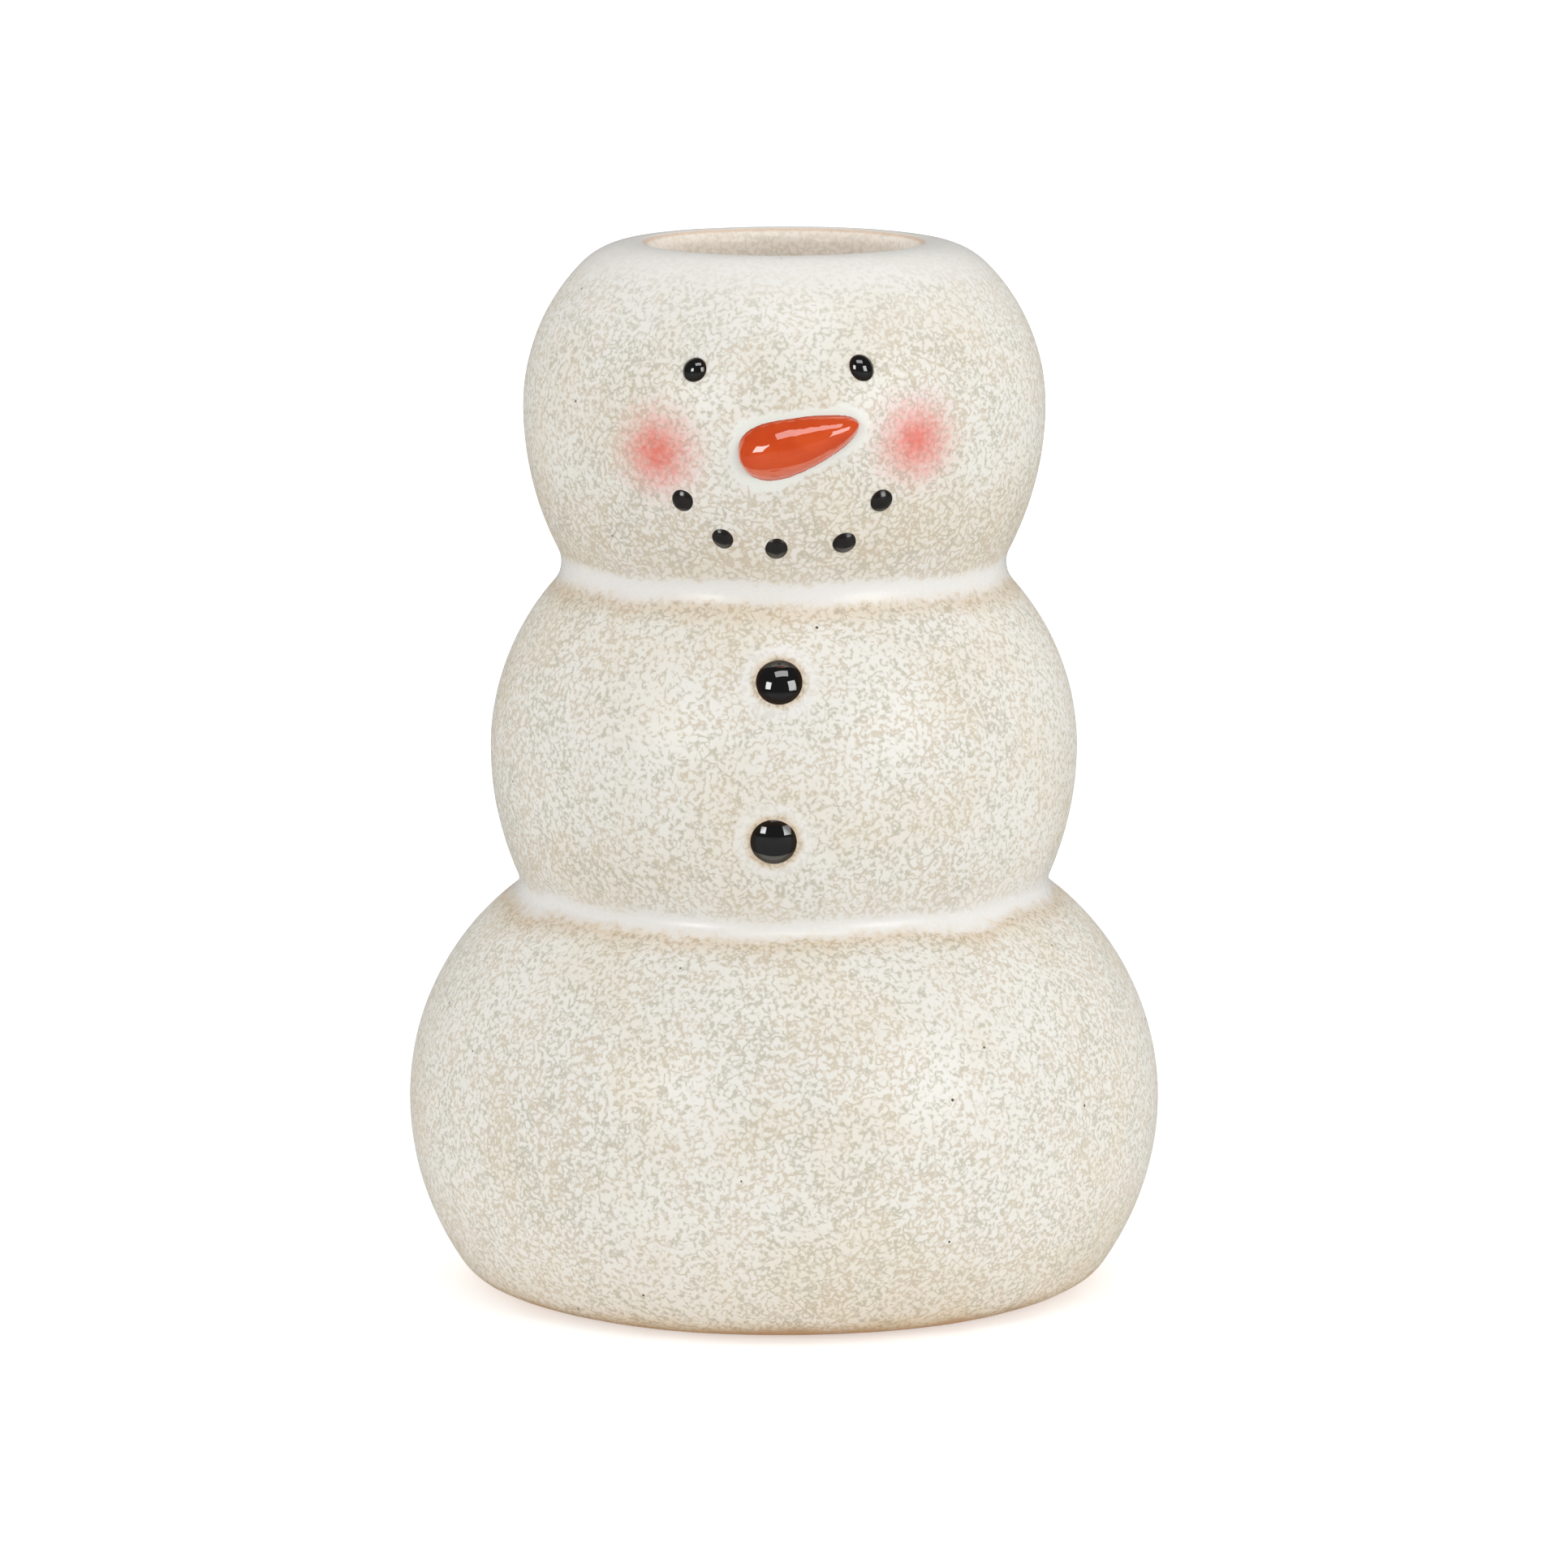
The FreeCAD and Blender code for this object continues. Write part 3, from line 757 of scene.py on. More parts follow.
        # How thickly the strokes lie drifts over the body in clouds, and pools and cheeks
        # veil them.
        crowded = add(
            tree, "Math", {0: noises["cloud"], 1: 1.5, 2: crowded}, operation="MULTIPLY_ADD"
        )
        speckle = self._strokes(tree, noises, crowded)
        cheek = self._cheeks(tree, place, noises["spray"])
        clean = add(tree, "MapRange", {0: pooled, 1: 0.0, 2: 1.0, 3: 1.0, 4: 0.4})
        veil = add(tree, "MapRange", {0: cheek, 1: 0.0, 2: 1.0, 3: 1.0, 4: 0.35})
        clean = add(tree, "Math", {0: clean, 1: veil}, operation="MULTIPLY")
        speckle = add(tree, "Math", {0: speckle, 1: clean}, operation="MULTIPLY")

        # The glaze's own colour and the strokes' colour each drift between two.
        warm = add(tree, "MapRange", {0: noises["warm"], 1: -0.15, 2: 0.4}, **SOFT)
        colour = add(
            tree, "Mix", {0: warm, 6: linear(self.white), 7: linear(self.cream)}, **COLOUR
        )
        hue = add(
            tree, "Math", {0: crowded, 1: 0.09, 2: noises["hue"]}, operation="MULTIPLY_ADD"
        )
        hue = add(tree, "MapRange", {0: hue, 1: -0.12, 2: 0.18}, **SOFT)
        ink = add(tree, "Mix", {0: hue, 6: linear(self.olive), 7: linear(self.tan)}, **COLOUR)
        inked = []
        for code, share in ((self.liner, 0.4), (self.clay, 0.35)):
            much = add(tree, "Math", {0: speckle, 1: share}, operation="MULTIPLY")
            inked.append(add(tree, "Mix", {0: much, 6: linear(code), 7: ink.outputs[2]}, **COLOUR))

        # The line where the inner glaze meets the outer one on the lip.
        meet = add(tree, "Math", {0: liner, 1: 0.45}, operation="SUBTRACT")
        meet = add(tree, "Math", {0: meet}, operation="ABSOLUTE")
        meet = add(tree, "MapRange", {0: meet, 1: 0.1, 2: 0.45, 3: 0.8, 4: 0.0}, **SOFT)

        # What lies over what: where, how much of it, its colour and how the two mix. The
        # last is the bare clay of the recess and of the ring that it stands on.
        layers = (
            (speckle, self.stroke_share, ink.outputs[2], "MIX"),
            (pooled, 0.85, linear(self.pooled), "MIX"),
            (halo, 0.6, linear(self.halo), "MIX"),
            (broken, 1.0, linear(self.broken), "MULTIPLY"),
            # The inner glaze, painted lighter than the outer white to stand in for light inside
            # the mouth.
            (liner, 1.0, inked[0].outputs[2], "MIX"),
            (meet, 1.0, linear(self.lip), "MULTIPLY"),
            (cheek, 1.0, linear(self.blush), "MULTIPLY"),
            (self._specks(tree, place, clean), 1.0, linear(self.iron), "MIX"),
            (bare, 1.0, inked[1].outputs[2], "MIX"),
        )
        for mask, share, over, blend in layers:
            much = add(tree, "Math", {0: mask, 1: share}, operation="MULTIPLY")
            colour = add(
                tree, "Mix", {0: much, 6: colour.outputs[2], 7: over}, blend_type=blend, **COLOUR
            )

        # The pools are glassier than the body, and the clay is dry.
        rough = add(tree, "MapRange", {0: pooled, 1: 0.0, 2: 1.0, 3: self.satin, 4: self.glassy})
        for mask, more in ((speckle, 0.08), (bare, self.dry)):
            rough = add(tree, "Math", {0: mask, 1: more, 2: rough}, operation="MULTIPLY_ADD")

        # Each stroke is a shallow dip, and the glaze has a faint orange peel.
        dips = add(
            tree, "Math", {0: speckle, 1: -0.5, 2: noises["peel"]}, operation="MULTIPLY_ADD"
        )
        bump = add(tree, "Bump", {"Height": dips, "Distance": self.dip * MM, "Strength": 0.6})
        shader = add(
            tree, "BsdfPrincipled",
            {
                "Base Color": colour.outputs[2], "Roughness": rough, "IOR": self.index,
                "Normal": bump,
            },
        )
        add(tree, "OutputMaterial", {"Surface": shader})
        return material


@dataclass(frozen=True)
class GlossGlaze:
    """A coloured gloss glaze, brushed on over the white and fired with it.

    It lies thick, so it is even in colour and as clear as glass on top. Towards its edge
    its colour turns to a given edge colour: brown on the black, and a darker red on the
    orange, which darkens the nose's low sides. Lengths are in millimetres.
    """

    name: str
    body: str
    deep: str
    edge: str
    roughness: float
    coat_index: float
    swell: float = 6.0
    ripple: float = 1.6
    ripple_height: float = 0.01
    index: float = 1.45

    def build(self) -> bpy.types.Material:
        """Makes the material.

        Returns:
            The glaze, which reads the attribute rim of the piece: 1 at its edge.
        """
        material, tree = begin(self.name)
        coords = add(tree, "TexCoord")
        place = add(
            tree, "VectorMath", {0: coords.outputs["Object"], "Scale": 1 / MM}, operation="SCALE"
        )
        rim = add(tree, "Attribute", attribute_name="rim").outputs["Fac"]
        cloud = add(tree, "TexNoise", {"Vector": place, "Scale": 1 / self.swell, "Detail": 3.0})
        depth = add(tree, "MapRange", {0: cloud, 1: 0.35, 2: 0.65}, **SOFT)
        colour = add(
            tree, "Mix", {0: depth, 6: linear(self.body), 7: linear(self.deep)}, **COLOUR
        )
        # Towards the piece's edge the colour turns to the edge colour; on the nose this darkens
        # its low sides.
        edge_tone = add(tree, "MapRange", {0: rim, 1: 0.72, 2: 1.0, 3: 0.0, 4: 0.75}, **SOFT)
        colour = add(
            tree, "Mix", {0: edge_tone, 6: colour.outputs[2], 7: linear(self.edge)}, **COLOUR
        )
        coat = add(tree, "MapRange", {0: rim, 1: 0.7, 2: 0.9, 3: 1.0, 4: 0.1}, **SOFT)
        ripple = add(tree, "TexNoise", {"Vector": place, "Scale": 1 / self.ripple, "Detail": 2.0})
        bump = add(
            tree, "Bump",
            {"Height": ripple, "Distance": self.ripple_height * MM, "Strength": 0.15},
        )
        shader = add(
            tree, "BsdfPrincipled",
            {
                "Base Color": colour.outputs[2], "Roughness": self.roughness, "IOR": self.index,
                "Coat Weight": coat, "Coat Roughness": self.roughness / 2,
                "Coat IOR": self.coat_index, "Normal": bump, "Coat Normal": bump,
            },
        )
        add(tree, "OutputMaterial", {"Surface": shader})
        return material


# Pieces


def make_piece(
    name: str, points: np.ndarray, faces: list[tuple[int, ...]],
    attributes: dict[str, np.ndarray], material: bpy.types.Material,
) -> bpy.types.Object:
    """Makes a smooth mesh piece in the scene.

    Args:
        name: The piece's name.
        points: Its vertices, in millimetres.
        faces: Its faces, as tuples of vertex numbers.
        attributes: Numbers to keep on the vertices, by name.
        material: Its finish.

    Returns:
        The new object, at the origin.
    """
    mesh = bpy.data.meshes.new(name)
    mesh.from_pydata((points * MM).tolist(), [], faces)
    mesh.shade_smooth()
    for key, values in attributes.items():
        layer = mesh.attributes.new(key, "FLOAT", "POINT")
        layer.data.foreach_set("value", np.asarray(values, np.float32))
    mesh.materials.append(material)
    piece = bpy.data.objects.new(name, mesh)
    bpy.context.scene.collection.objects.link(piece)
    return piece


def knit(rows: int, count: int) -> tuple[list[tuple[int, ...]], list[tuple]]:
    """Joins rings of vertices into faces.

    Args:
        rows: How many rows there are. The first and the last are a single vertex.
        count: How many vertices each other row has.

    Returns:
        The faces, and for each face's corners their (column, row) for the map.
    """
    faces, corners = [], []

    def at(row: int, column: int) -> int:
        """The number of the vertex in a row and a column."""
        return 1 + (row - 1) * count + column % count

    last = 1 + (rows - 2) * count
    for j in range(count):
        faces.append((0, at(1, j), at(1, j + 1)))
        corners.append(((j + 0.5, 0), (j, 1), (j + 1, 1)))
    for i in range(1, rows - 2):
        for j in range(count):
            faces.append((at(i, j), at(i + 1, j), at(i + 1, j + 1), at(i, j + 1)))
            corners.append(((j, i), (j, i + 1), (j + 1, i + 1), (j + 1, i)))
    for j in range(count):
        faces.append((at(rows - 2, j), last, at(rows - 2, j + 1)))
        corners.append(((j, rows - 2), (j + 0.5, rows - 1), (j + 1, rows - 2)))
    return faces, corners


def enrol(piece: bpy.types.Object, node: str) -> None:
    """Puts a piece in its node's place, on the vase, and logs it.

    Args:
        piece: The piece.
        node: The node that it stands for.
    """
    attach(piece, BODY)
    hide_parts(node)
    log.info("%s: %d faces", piece.name, len(piece.data.polygons))


@dataclass
class VaseBody:
    """The hollow casting: wall, rim, floor and foot, with the uneven glaze on it."""

    outline: Outline
    face: Face
    finish: bpy.types.Material
    columns: int = 352
    front_share: float = 0.44
    front_half: float = 62.0
    swell: float = 0.18
    swell_width: float = 38.0
    peel: float = 0.035
    peel_width: float = 6.0
    roll: float = 0.28
    dot_radius: float = 2.4
    glaze_edge: float = 0.22
    wipe_level: float = 1.7
    bare_level: float = 1.4
    ragged: float = 1.3
    ragged_width: float = 13.0

    def _turns(self) -> np.ndarray:
        """The columns' turns, in radians from the back round to the back.

        Returns:
            The turns, closer together in front, where the pieces are.
        """
        share = np.linspace(0, 1, self.columns, endpoint=False)
        front = math.radians(self.front_half)
        back = (1 - self.front_share) / 2
        knots = [0, back, 1 - back, 1]
        return np.interp(share, knots, [-math.pi, -front, front, math.pi])

    def _relief(self, place: Vector, zone: Zone) -> float:
        """How far the glaze stands out from the plain wall.

        Args:
            place: The place on the wall, in millimetres.
            zone: The stretch of the outline that it is in.

        Returns:
            The height in millimetres, less than 0 where the glaze is thin.
        """
        if zone in (Zone.SOLE, Zone.RING):
            return 0.0
        height = self.swell * noise.noise(place / self.swell_width)
        if zone is Zone.LINER:
            return height
        height += self.peel * noise.noise(place / self.peel_width + Vector((31, 7, 3)))
        # A low roll of glaze lies round each piece: how far off, how wide and how high.
        wander = 0.5 * noise.noise(place / 3.2)
        rolls = [(self.face.nose.distance(place) + wander, 1.2, 1.4, 0.7)]
        for button in self.face.buttons:
            gap = (place - button).length - self.face.button_radius + 0.6 * wander
            rolls.append((gap, 0.9, 1.0, 0.45))
        for dot in self.face.dots:
            rolls.append(((place - dot).length - self.dot_radius, 0.0, 0.8, 0.2))
        for gap, middle, width, share in rolls:
            height += share * self.roll * math.exp(-(((gap - middle) / width) ** 2))
        # The glaze was wiped back from the foot, and ends in a low soft edge.
        wiped = self.wipe_level + self.ragged * noise.noise(place / self.ragged_width)
        height -= self.glaze_edge / (1 + math.exp((place.z - wiped) / 0.35))
        return height

    def build(self) -> bpy.types.Object:
        """Makes the casting.

        Returns:
            The piece, with its own map for baking.
        """
        rows, zones = [], []
        for stretch, zone in self.outline.section():
            for point in stretch:
                if not rows or math.dist(rows[-1], point) > 0.15:
                    rows.append(tuple(point))
                    zones.append(zone)
        line = np.array(rows)
        lean = np.gradient(line, axis=0)
        lean /= np.linalg.norm(lean, axis=1)[:, None]
        normals = np.column_stack([lean[:, 1], -lean[:, 0]])
        turns = self._turns()
        sines, cosines = np.sin(turns), np.cos(turns)
        points, liner, bare = [], [], []
        for (across, height), (out, up), zone in zip(line, normals, zones):
            inner = self._liner_at(across, zone)
            on_axis = across < 0.01
            for s, c in zip(sines[:1], cosines[:1]) if on_axis else zip(sines, cosines):
                place = Vector((across * s, -across * c, height))
                rise = 0.0 if on_axis else self._relief(place, zone)
                radius = across + out * rise
                points.append((radius * s, -radius * c, height + up * rise))
                liner.append(inner)
                bare.append(self._bare_at(place, zone))
        faces, corners = knit(len(line), len(turns))
        piece = make_piece(
            "vase_casting", np.array(points), faces,
            {"liner": np.array(liner), "bare": np.array(bare)}, self.finish,
        )
        self._map(piece.data, line, zones, corners)
        enrol(piece, "vase_body")
        return piece

    def _liner_at(self, across: float, zone: Zone) -> float:
        """How much of the inner glaze shows, which begins part of the way over the lip.

        Args:
            across: The place's radius in millimetres.
            zone: The stretch of the outline that it is in.

        Returns:
            1 for the inner glaze, 0 for the outer one, and between where they meet.
        """
        if zone is Zone.LINER:
            return 1.0
        if zone is not Zone.LIP:
            return 0.0
        over = (self.outline.crest_radius - across) / self.outline.lip_round
        return min(1.0, max(0.0, (over - 0.35) / 0.6)) ** 1.5

    def _bare_at(self, place: Vector, zone: Zone) -> float:
        """How bare the clay is: wholly on the sole and the ring, then out to a ragged line.

        Args:
            place: The place on the wall, in millimetres.
            zone: The stretch of the outline that it is in.

        Returns:
            1 for bare clay, 0 for glaze, and between where the glaze ends.
        """
        if zone in (Zone.SOLE, Zone.RING):
            return 1.0
        if zone is not Zone.SKIN or place.z > 6:
            return 0.0
        line = self.bare_level + self.ragged * noise.noise(place / self.ragged_width)
        line += 0.5 * noise.noise(place / 2.0)
        return 1 / (1 + math.exp((place.z - line) / 0.25))

    def _map(
        self, mesh: bpy.types.Mesh, line: np.ndarray, zones: list[Zone], corners: list[tuple]
    ) -> None:
        """Lays the wall out flat for baking, with most of the sheet given to the skin.

        Args:
            mesh: The wall's mesh.
            line: Its section, as (radius, height) rows.
            zones: Each row's zone.
            corners: For each face's corners their (column, row).
        """
        shares = dict(zip(Zone, (0.2, 0.6, 1.0, 1.4, 0.14)))
        steps = np.linalg.norm(np.diff(line, axis=0), axis=1)
        steps *= [shares[zone] for zone in zones[1:]]
        rise = np.concatenate([[0], np.cumsum(steps)])
        margin = 0.002
        rise = margin + (1 - 2 * margin) * rise / rise[-1]
        flat = [
            (margin + (1 - 2 * margin) * column / self.columns, rise[row])
            for face in corners
            for column, row in face
        ]
        layer = mesh.uv_layers.new(name="OFBake")
        layer.data.foreach_set("uv", np.array(flat, np.float32).ravel())


@dataclass
class CarrotNose:
    """A tapered roll of clay laid sideways on the face, under thick orange glaze."""

    skin: Skin
    seat: Seat
    finish: bpy.types.Material
    length: float = 22.3
    half_width: float = 5.25
    widest: float = 0.32
    relief: float = 0.68
    bend: float = 0.35
    tilt: float = 16.5
    lift: float = 0.5
    aside: float = -0.5
    sunk: float = 0.8
    tip_share: float = 0.46
    rim_height: float = 2.2
    sway: float = 0.08
    rings: int = 72
    spokes: int = 72

    def _place(self, along: float, across: float, height: float) -> Vector:
        """Finds a point over the skin.

        Args:
            along: How far it is from the middle of the nose towards the tip.
            across: How far it is to the side of the nose's length.
            height: How far it is above the skin.

        Returns:
            The point. All are in millimetres.
        """
        flat = self.seat.matrix @ Matrix.Translation((self.aside, self.lift, 0))
        flat @= Matrix.Rotation(math.radians(self.tilt), 4, "Z")
        seat = self.skin.under(flat @ Vector((along, across, 0)))
        return seat.matrix @ Vector((0, 0, height))

    def bar(self) -> Bar:
        """The nose's plain shape, for the glaze round it.

        Returns:
            A tapered bar as long and as wide as the nose.
        """
        root, half = self.half_width, self.length / 2
        tip = self.tip_share * root
        return Bar(self._place(root - half, 0, 0.4), self._place(half - tip, 0, 0), root, tip)

    def _radius(self, along: float) -> float:
        """The half width of the nose, which is blunt at both ends.

        Args:
            along: The share of the length, 0 at the root and 1 at the tip.

        Returns:
            The half width in millimetres.
        """
        if along < self.widest:
            return self.half_width * (1 - (1 - along / self.widest) ** 2.5) ** 0.4
        past = (along - self.widest) / (1 - self.widest)
        return self.half_width * math.sqrt(max(0.0, 1 - past**1.35))

    def build(self) -> bpy.types.Object:
        """Makes the nose.

        Returns:
            The piece, with a flat bottom let into the glaze.
        """
        points, rim = [], []
        for i in range(self.rings + 1):
            share = 0.5 - 0.5 * math.cos(math.pi * i / self.rings)
            radius = self._radius(share)
            crown = self.relief * self.half_width**0.25 * radius**0.75
            crown *= 0.8 + 0.2 * min(1.0, share / self.widest)
            curve = self.bend * ((2 * share - 1) ** 2 - 0.3)
            for j in range(self.spokes if 0 < i < self.rings else 1):
                angle = 2 * math.pi * j / self.spokes
                across = math.cos(angle)
                if math.sin(angle) < 0:
                    height = self.sunk * math.sin(angle)
                else:
                    height = crown * (1 - across**2)
                along = (share - 0.5) * self.length
                sway = self.sway * noise.noise(Vector((along, across * 3, 0)) / 5.0)
                points.append(self._place(along, across * radius + curve + sway, height))
                rim.append(1.0 - min(1.0, max(0.0, height / self.rim_height)))
        faces, _ = knit(self.rings + 1, self.spokes)
        faces = [tuple(reversed(face)) for face in faces]
        piece = make_piece(
            "carrot_nose_glazed", np.array(points), faces, {"rim": np.array(rim)}, self.finish
        )
        enrol(piece, "carrot_nose")
        return piece


@dataclass
class Dome:
    """A round or oval dome on the skin: a pressed button, or a trailed bead of glaze."""

    node: str
    seat: Seat
    finish: bpy.types.Material
    width: float
    length: float
    relief: float
    tilt: float = 0.0
    uneven: float = 0.05
    sunk: float = 0.5
    rings: int = 18
    spokes: int = 56

    def build(self) -> bpy.types.Object:
        """Makes the dome.

        Returns:
            The piece, closed underneath where it beds in the glaze.
        """
        axes = self.seat.matrix @ Matrix.Rotation(math.radians(self.tilt), 4, "Z")
        middle = self.seat.matrix.translation
        radius = self.width / 2
        ball = (radius**2 + self.relief**2) / (2 * self.relief)
        points, rim = [axes @ Vector((0, 0, self.relief))], [0.0]
        for i in range(1, self.rings + 1):
            share = math.sin(math.pi / 2 * i / self.rings)
            height = math.sqrt(ball**2 - (radius * share) ** 2) - ball + self.relief
            for j in range(self.spokes):
                angle = 2 * math.pi * j / self.spokes
                ring = Vector((math.cos(angle), math.sin(angle), 0))
                wobble = 1 + self.uneven * noise.noise(ring * 0.9 + middle / 3.0)
                spot = Vector((ring.x * self.width, ring.y * self.length, 0)) * share * wobble / 2
                points.append(axes @ Vector((spot.x, spot.y, height)))
                rim.append(share)
        for share in (1.0, 0.5):
            for j in range(self.spokes):
                angle = 2 * math.pi * j / self.spokes
                spot = Vector((math.cos(angle) * self.width, math.sin(angle) * self.length, 0))
                points.append(axes @ Vector((*(spot * share / 2).xy, -self.sunk)))
                rim.append(1.0)
        points.append(axes @ Vector((0, 0, -self.sunk)))
        rim.append(1.0)
        faces, _ = knit(self.rings + 4, self.spokes)
        piece = make_piece(
            f"{self.node}_glazed", np.array(points), faces, {"rim": np.array(rim)}, self.finish
        )
        enrol(piece, self.node)
        return piece


# The studio


@dataclass(frozen=True)
class Softbox:
    """A rectangular light: its direction from the vase, in degrees, and its size in metres."""

    name: str
    turn: float
    climb: float
    distance: float
    width: float
    height: float
    power: float

    def build(self, aim: Vector) -> None:
        """Hangs the light.

        Args:
            aim: The place that it faces, in metres.
        """
        turn, climb = math.radians(self.turn), math.radians(self.climb)
        away = Vector(
            (math.sin(turn) * math.cos(climb), -math.cos(turn) * math.cos(climb), math.sin(climb))
        )
        data = bpy.data.lights.new(self.name, "AREA")
        data.shape = "RECTANGLE"
        data.size, data.size_y, data.energy = self.width, self.height, self.power
        light = bpy.data.objects.new(self.name, data)
        light.location = aim + away * self.distance
        light.rotation_euler = away.to_track_quat("Z", "Y").to_euler()
        bpy.context.scene.collection.objects.link(light)


@dataclass(frozen=True)
class Studio:
    """A white table in soft light, and the camera.

    The camera's lengths are in millimetres, and the table's reach is in metres.
    """

    aim_height: float = 90.8
    distance: float = 1469.0
    elevation: float = 9.5
    lens: float = 185.1
    sensor: float = 36.0
    fill: float = 0.17
    sides: float = 1.6
    back: float = 0.6
    ceiling: float = 1.6
    dim: float = 0.05
    table: str = "#DADADA"
    # The table's grey in reflections, a painted reflection.
    table_reflection_grey: str = "#6A6A6A"
    table_reach: float = 6.0
    glow_near: float = 0.5
    glow_far: float = 0.95
    # The table's glow to diffuse light near the foot, painted light from below.
    underglow: float = 0.4
    lights: tuple[Softbox, ...] = (
        Softbox("overhead_softbox", 12, 62, 1.1, 0.74, 0.40, 2.2),
        Softbox("left_softbox", -39, 19, 1.1, 0.34, 0.40, 2.4),
        Softbox("right_softbox", 44, 19, 1.1, 0.50, 0.58, 3.3),
    )

    def build(self) -> None:
        """Makes the table, the lights, the surroundings and the camera."""
        scene = bpy.context.scene
        scene.view_settings.view_transform = "Standard"
        self._table()
        self._surroundings(scene)
        aim = Vector((0, 0, self.aim_height * MM))
        for light in self.lights:
            light.build(aim)
        climb = math.radians(self.elevation)
        back = Vector((0, -math.cos(climb), math.sin(climb)))
        data = bpy.data.cameras.new("camera")
        data.sensor_width, data.lens = self.sensor, self.lens
        camera = bpy.data.objects.new("camera", data)
        camera.location = aim + back * self.distance * MM
        camera.rotation_euler = back.to_track_quat("Z", "Y").to_euler()
        scene.collection.objects.link(camera)
        scene.camera = camera

    def _table(self) -> None:
        """A wide white table top of matt acrylic.

        Seen straight on it glows, more the further it is from the vase, so it reads white.
        Near the foot of the vase it glows to diffuse light, painted light that lights the
        vase from below. In reflections it is painted grey, a painted reflection.
        """
        reach = self.table_reach
        corners = [(-reach, -reach, 0), (reach, -reach, 0), (reach, reach, 0), (-reach, reach, 0)]
        mesh = bpy.data.meshes.new("table_top")
        mesh.from_pydata(corners, [], [(0, 1, 2, 3)])
        material, tree = begin("Matt white acrylic")
        path = add(tree, "LightPath")
        # The table's colour by ray: grey in reflections only, a painted reflection.
        face = add(
            tree, "Mix",
            {
                0: path.outputs["Is Glossy Ray"],
                6: linear(self.table), 7: linear(self.table_reflection_grey),
            },
            **COLOUR,
        )
        coords = add(tree, "TexCoord")
        away = add(
            tree, "VectorMath", {0: coords.outputs["Object"]}, operation="LENGTH"
        ).outputs["Value"]
        glow = add(
            tree, "MapRange", {0: away, 1: 0.1, 2: 1.2, 3: self.glow_near, 4: self.glow_far},
            **SOFT,
        )
        glow = add(
            tree, "Math", {0: glow, 1: path.outputs["Is Camera Ray"]}, operation="MULTIPLY"
        )
        # Painted light from below: near the foot the table glows to diffuse light and lights the
        # vase's underside.
        under = add(
            tree, "MapRange", {0: away, 1: 0.07, 2: 0.24, 3: self.underglow, 4: 0.0}, **SOFT
        )
        glow = add(
            tree, "Math", {0: under, 1: path.outputs["Is Diffuse Ray"], 2: glow},
            operation="MULTIPLY_ADD",
        )
        shader = add(
            tree, "BsdfPrincipled",
            {
                "Base Color": face.outputs[2], "Roughness": 0.9, "Specular IOR Level": 0.1,
                "Emission Color": linear("#FFFFFF"), "Emission Strength": glow,
            },
        )
        add(tree, "OutputMaterial", {"Surface": shader})
        mesh.materials.append(material)
        table = bpy.data.objects.new("table_top", mesh)
        bpy.context.scene.collection.objects.link(table)

    def _surroundings(self, scene: bpy.types.Scene) -> None:
        """White walls, brightest at the sides and behind the vase, and dim in reflections.

        Args:
            scene: The scene that they stand round.
        """
        world = bpy.data.worlds.new("surroundings")
        scene.world = world
        world.use_nodes = True
        tree = world.node_tree
        tree.nodes.clear()
        path = add(tree, "LightPath")
        way = add(tree, "SeparateXYZ", {0: add(tree, "TexCoord").outputs["Generated"]})
        aside = add(tree, "Math", {0: way, 1: 4.0}, operation="POWER")
        above = add(tree, "Math", {0: way.outputs[2], 1: 0.0}, operation="MAXIMUM")
        above = add(tree, "Math", {0: above, 1: 2.0}, operation="POWER")
        above = add(
            tree, "Math", {0: above, 1: self.ceiling * self.back, 2: self.back},
            operation="MULTIPLY_ADD",
        )
        behind = add(tree, "MapRange", {0: way.outputs[1], 1: 0.0, 2: 0.4}, **SOFT)
        behind = add(tree, "Math", {0: behind, 1: above, 2: self.fill}, operation="MULTIPLY_ADD")
        level = add(
            tree, "Math", {0: aside, 1: self.sides, 2: behind}, operation="MULTIPLY_ADD"
        )
        level = add(tree, "Mix", {0: path.outputs["Is Glossy Ray"], 2: level, 3: self.dim})
        level = add(tree, "Mix", {0: path.outputs["Is Camera Ray"], 2: level, 3: 1.0})
        light = add(tree, "Background", {"Color": linear("#FFFFFF"), "Strength": level})
        add(tree, "OutputWorld", {"Surface": light})


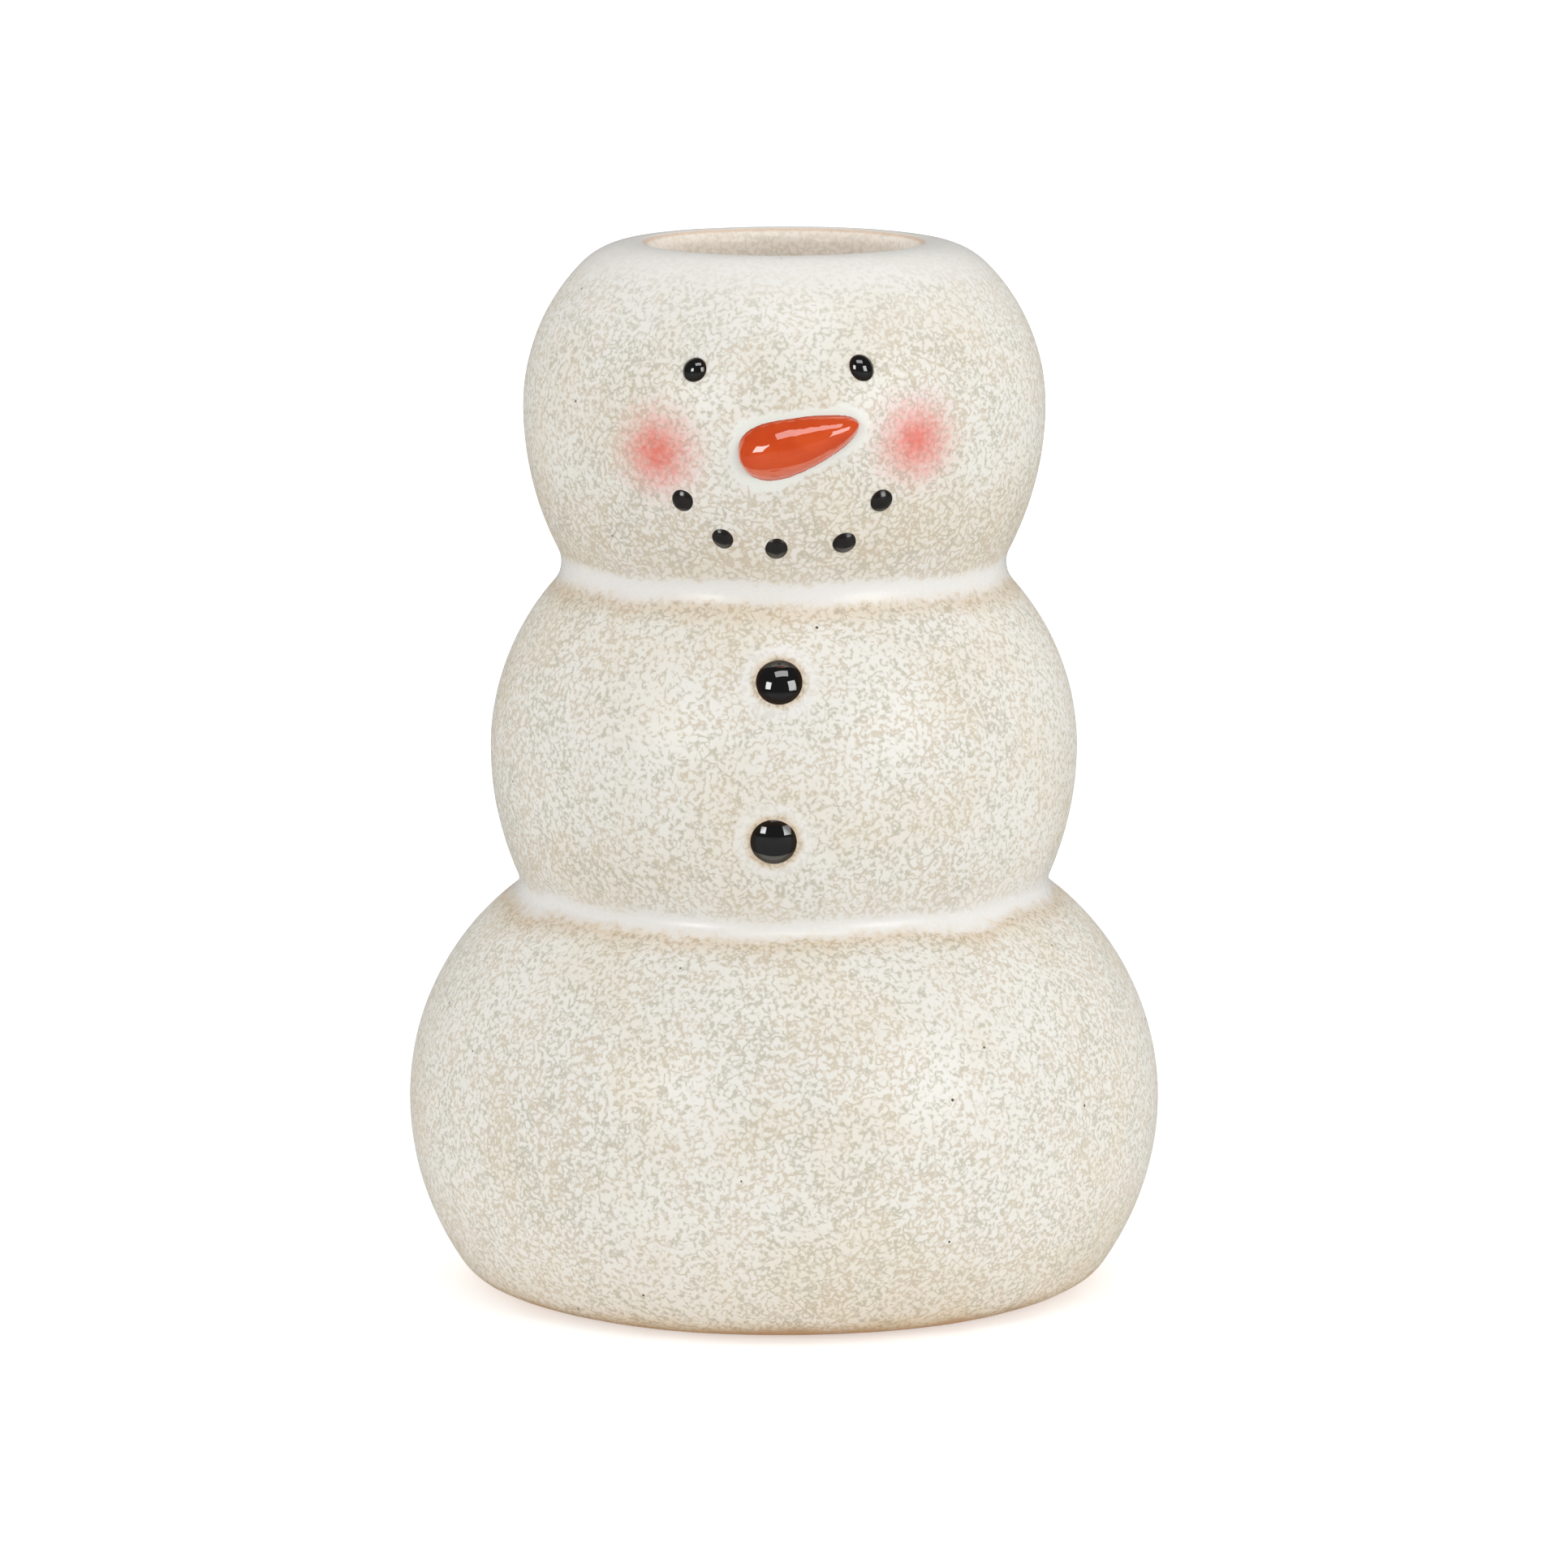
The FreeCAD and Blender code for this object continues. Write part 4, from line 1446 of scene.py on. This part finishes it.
@dataclass
class Snowman:
    """The whole vase: where everything sits, and the making of each piece.

    The eyes and the coals are given by node, width, length and tilt, and the cheeks by
    turn and level. Lengths are in millimetres, and tilts and turns in degrees.
    """

    outline: Outline = field(default_factory=Outline)
    button_width: float = 8.2
    button_relief: float = 1.6
    eye_relief: float = 1.2
    coal_relief: float = 0.7
    eyes: tuple[tuple[str, float, float, float], ...] = (
        ("right_eye", 4.2, 4.5, -35.0),
        ("left_eye", 4.3, 5.0, 30.0),
    )
    coals: tuple[tuple[str, float, float, float], ...] = (
        ("mouth_coal_1", 4.0, 4.2, 40.0),
        ("mouth_coal_2", 3.7, 4.0, 40.0),
        ("mouth_coal_3", 3.9, 4.1, -40.0),
        ("mouth_coal_4", 3.9, 4.3, -75.0),
        ("mouth_coal_5", 3.9, 4.2, -50.0),
    )
    cheek_places: tuple[tuple[float, float], ...] = ((-28.2, 156.9), (29.7, 158.9))

    def build(self) -> None:
        """Makes every piece, the casting first."""
        skin = Skin(self.outline)
        orange = GlossGlaze(
            "Orange gloss glaze", "#E05727", "#D54B1D", "#A33B16", 0.05, 1.75
        ).build()
        black = GlossGlaze(
            "Black gloss glaze", "#0C0C0D", "#121110", "#33261B", 0.04, 2.0
        ).build()
        satin = GlossGlaze(
            "Black satin slip", "#1A1715", "#24201D", "#332B25", 0.22, 1.6, 2.0
        ).build()
        nose = CarrotNose(skin, skin.under_node("carrot_nose"), orange)
        buttons = {name: skin.under_node(name) for name in ("upper_button", "lower_button")}
        dots = {row[0]: skin.under_node(row[0]) for row in self.eyes + self.coals}
        cheeks = []
        for turn, level in self.cheek_places:
            t, far = math.radians(turn), self.outline.head_radius
            cheeks.append(
                skin.under(Vector((far * math.sin(t), -far * math.cos(t), level)))
                .matrix.translation
            )
        face = Face(
            nose.bar(),
            tuple(seat.matrix.translation for seat in buttons.values()),
            self.button_width / 2,
            tuple(seat.matrix.translation for seat in dots.values()),
            tuple(cheeks),
        )
        VaseBody(self.outline, face, SpeckledGlaze(face, self.outline.height).build()).build()
        nose.build()
        for name, seat in buttons.items():
            Dome(
                name, seat, black, self.button_width, self.button_width,
                self.button_relief, uneven=0.02, rings=28, spokes=80,
            ).build()
        for name, width, length, tilt in self.eyes:
            Dome(name, dots[name], black, width, length, self.eye_relief, tilt).build()
        for name, width, length, tilt in self.coals:
            Dome(name, dots[name], satin, width, length, self.coal_relief, tilt).build()


def main() -> None:
    """Builds the vase and the studio."""
    logging.basicConfig(level=logging.INFO, format="%(message)s")
    Snowman().build()
    Studio().build()
    bpy.context.view_layer.update()


if __name__ == "__main__":
    main()
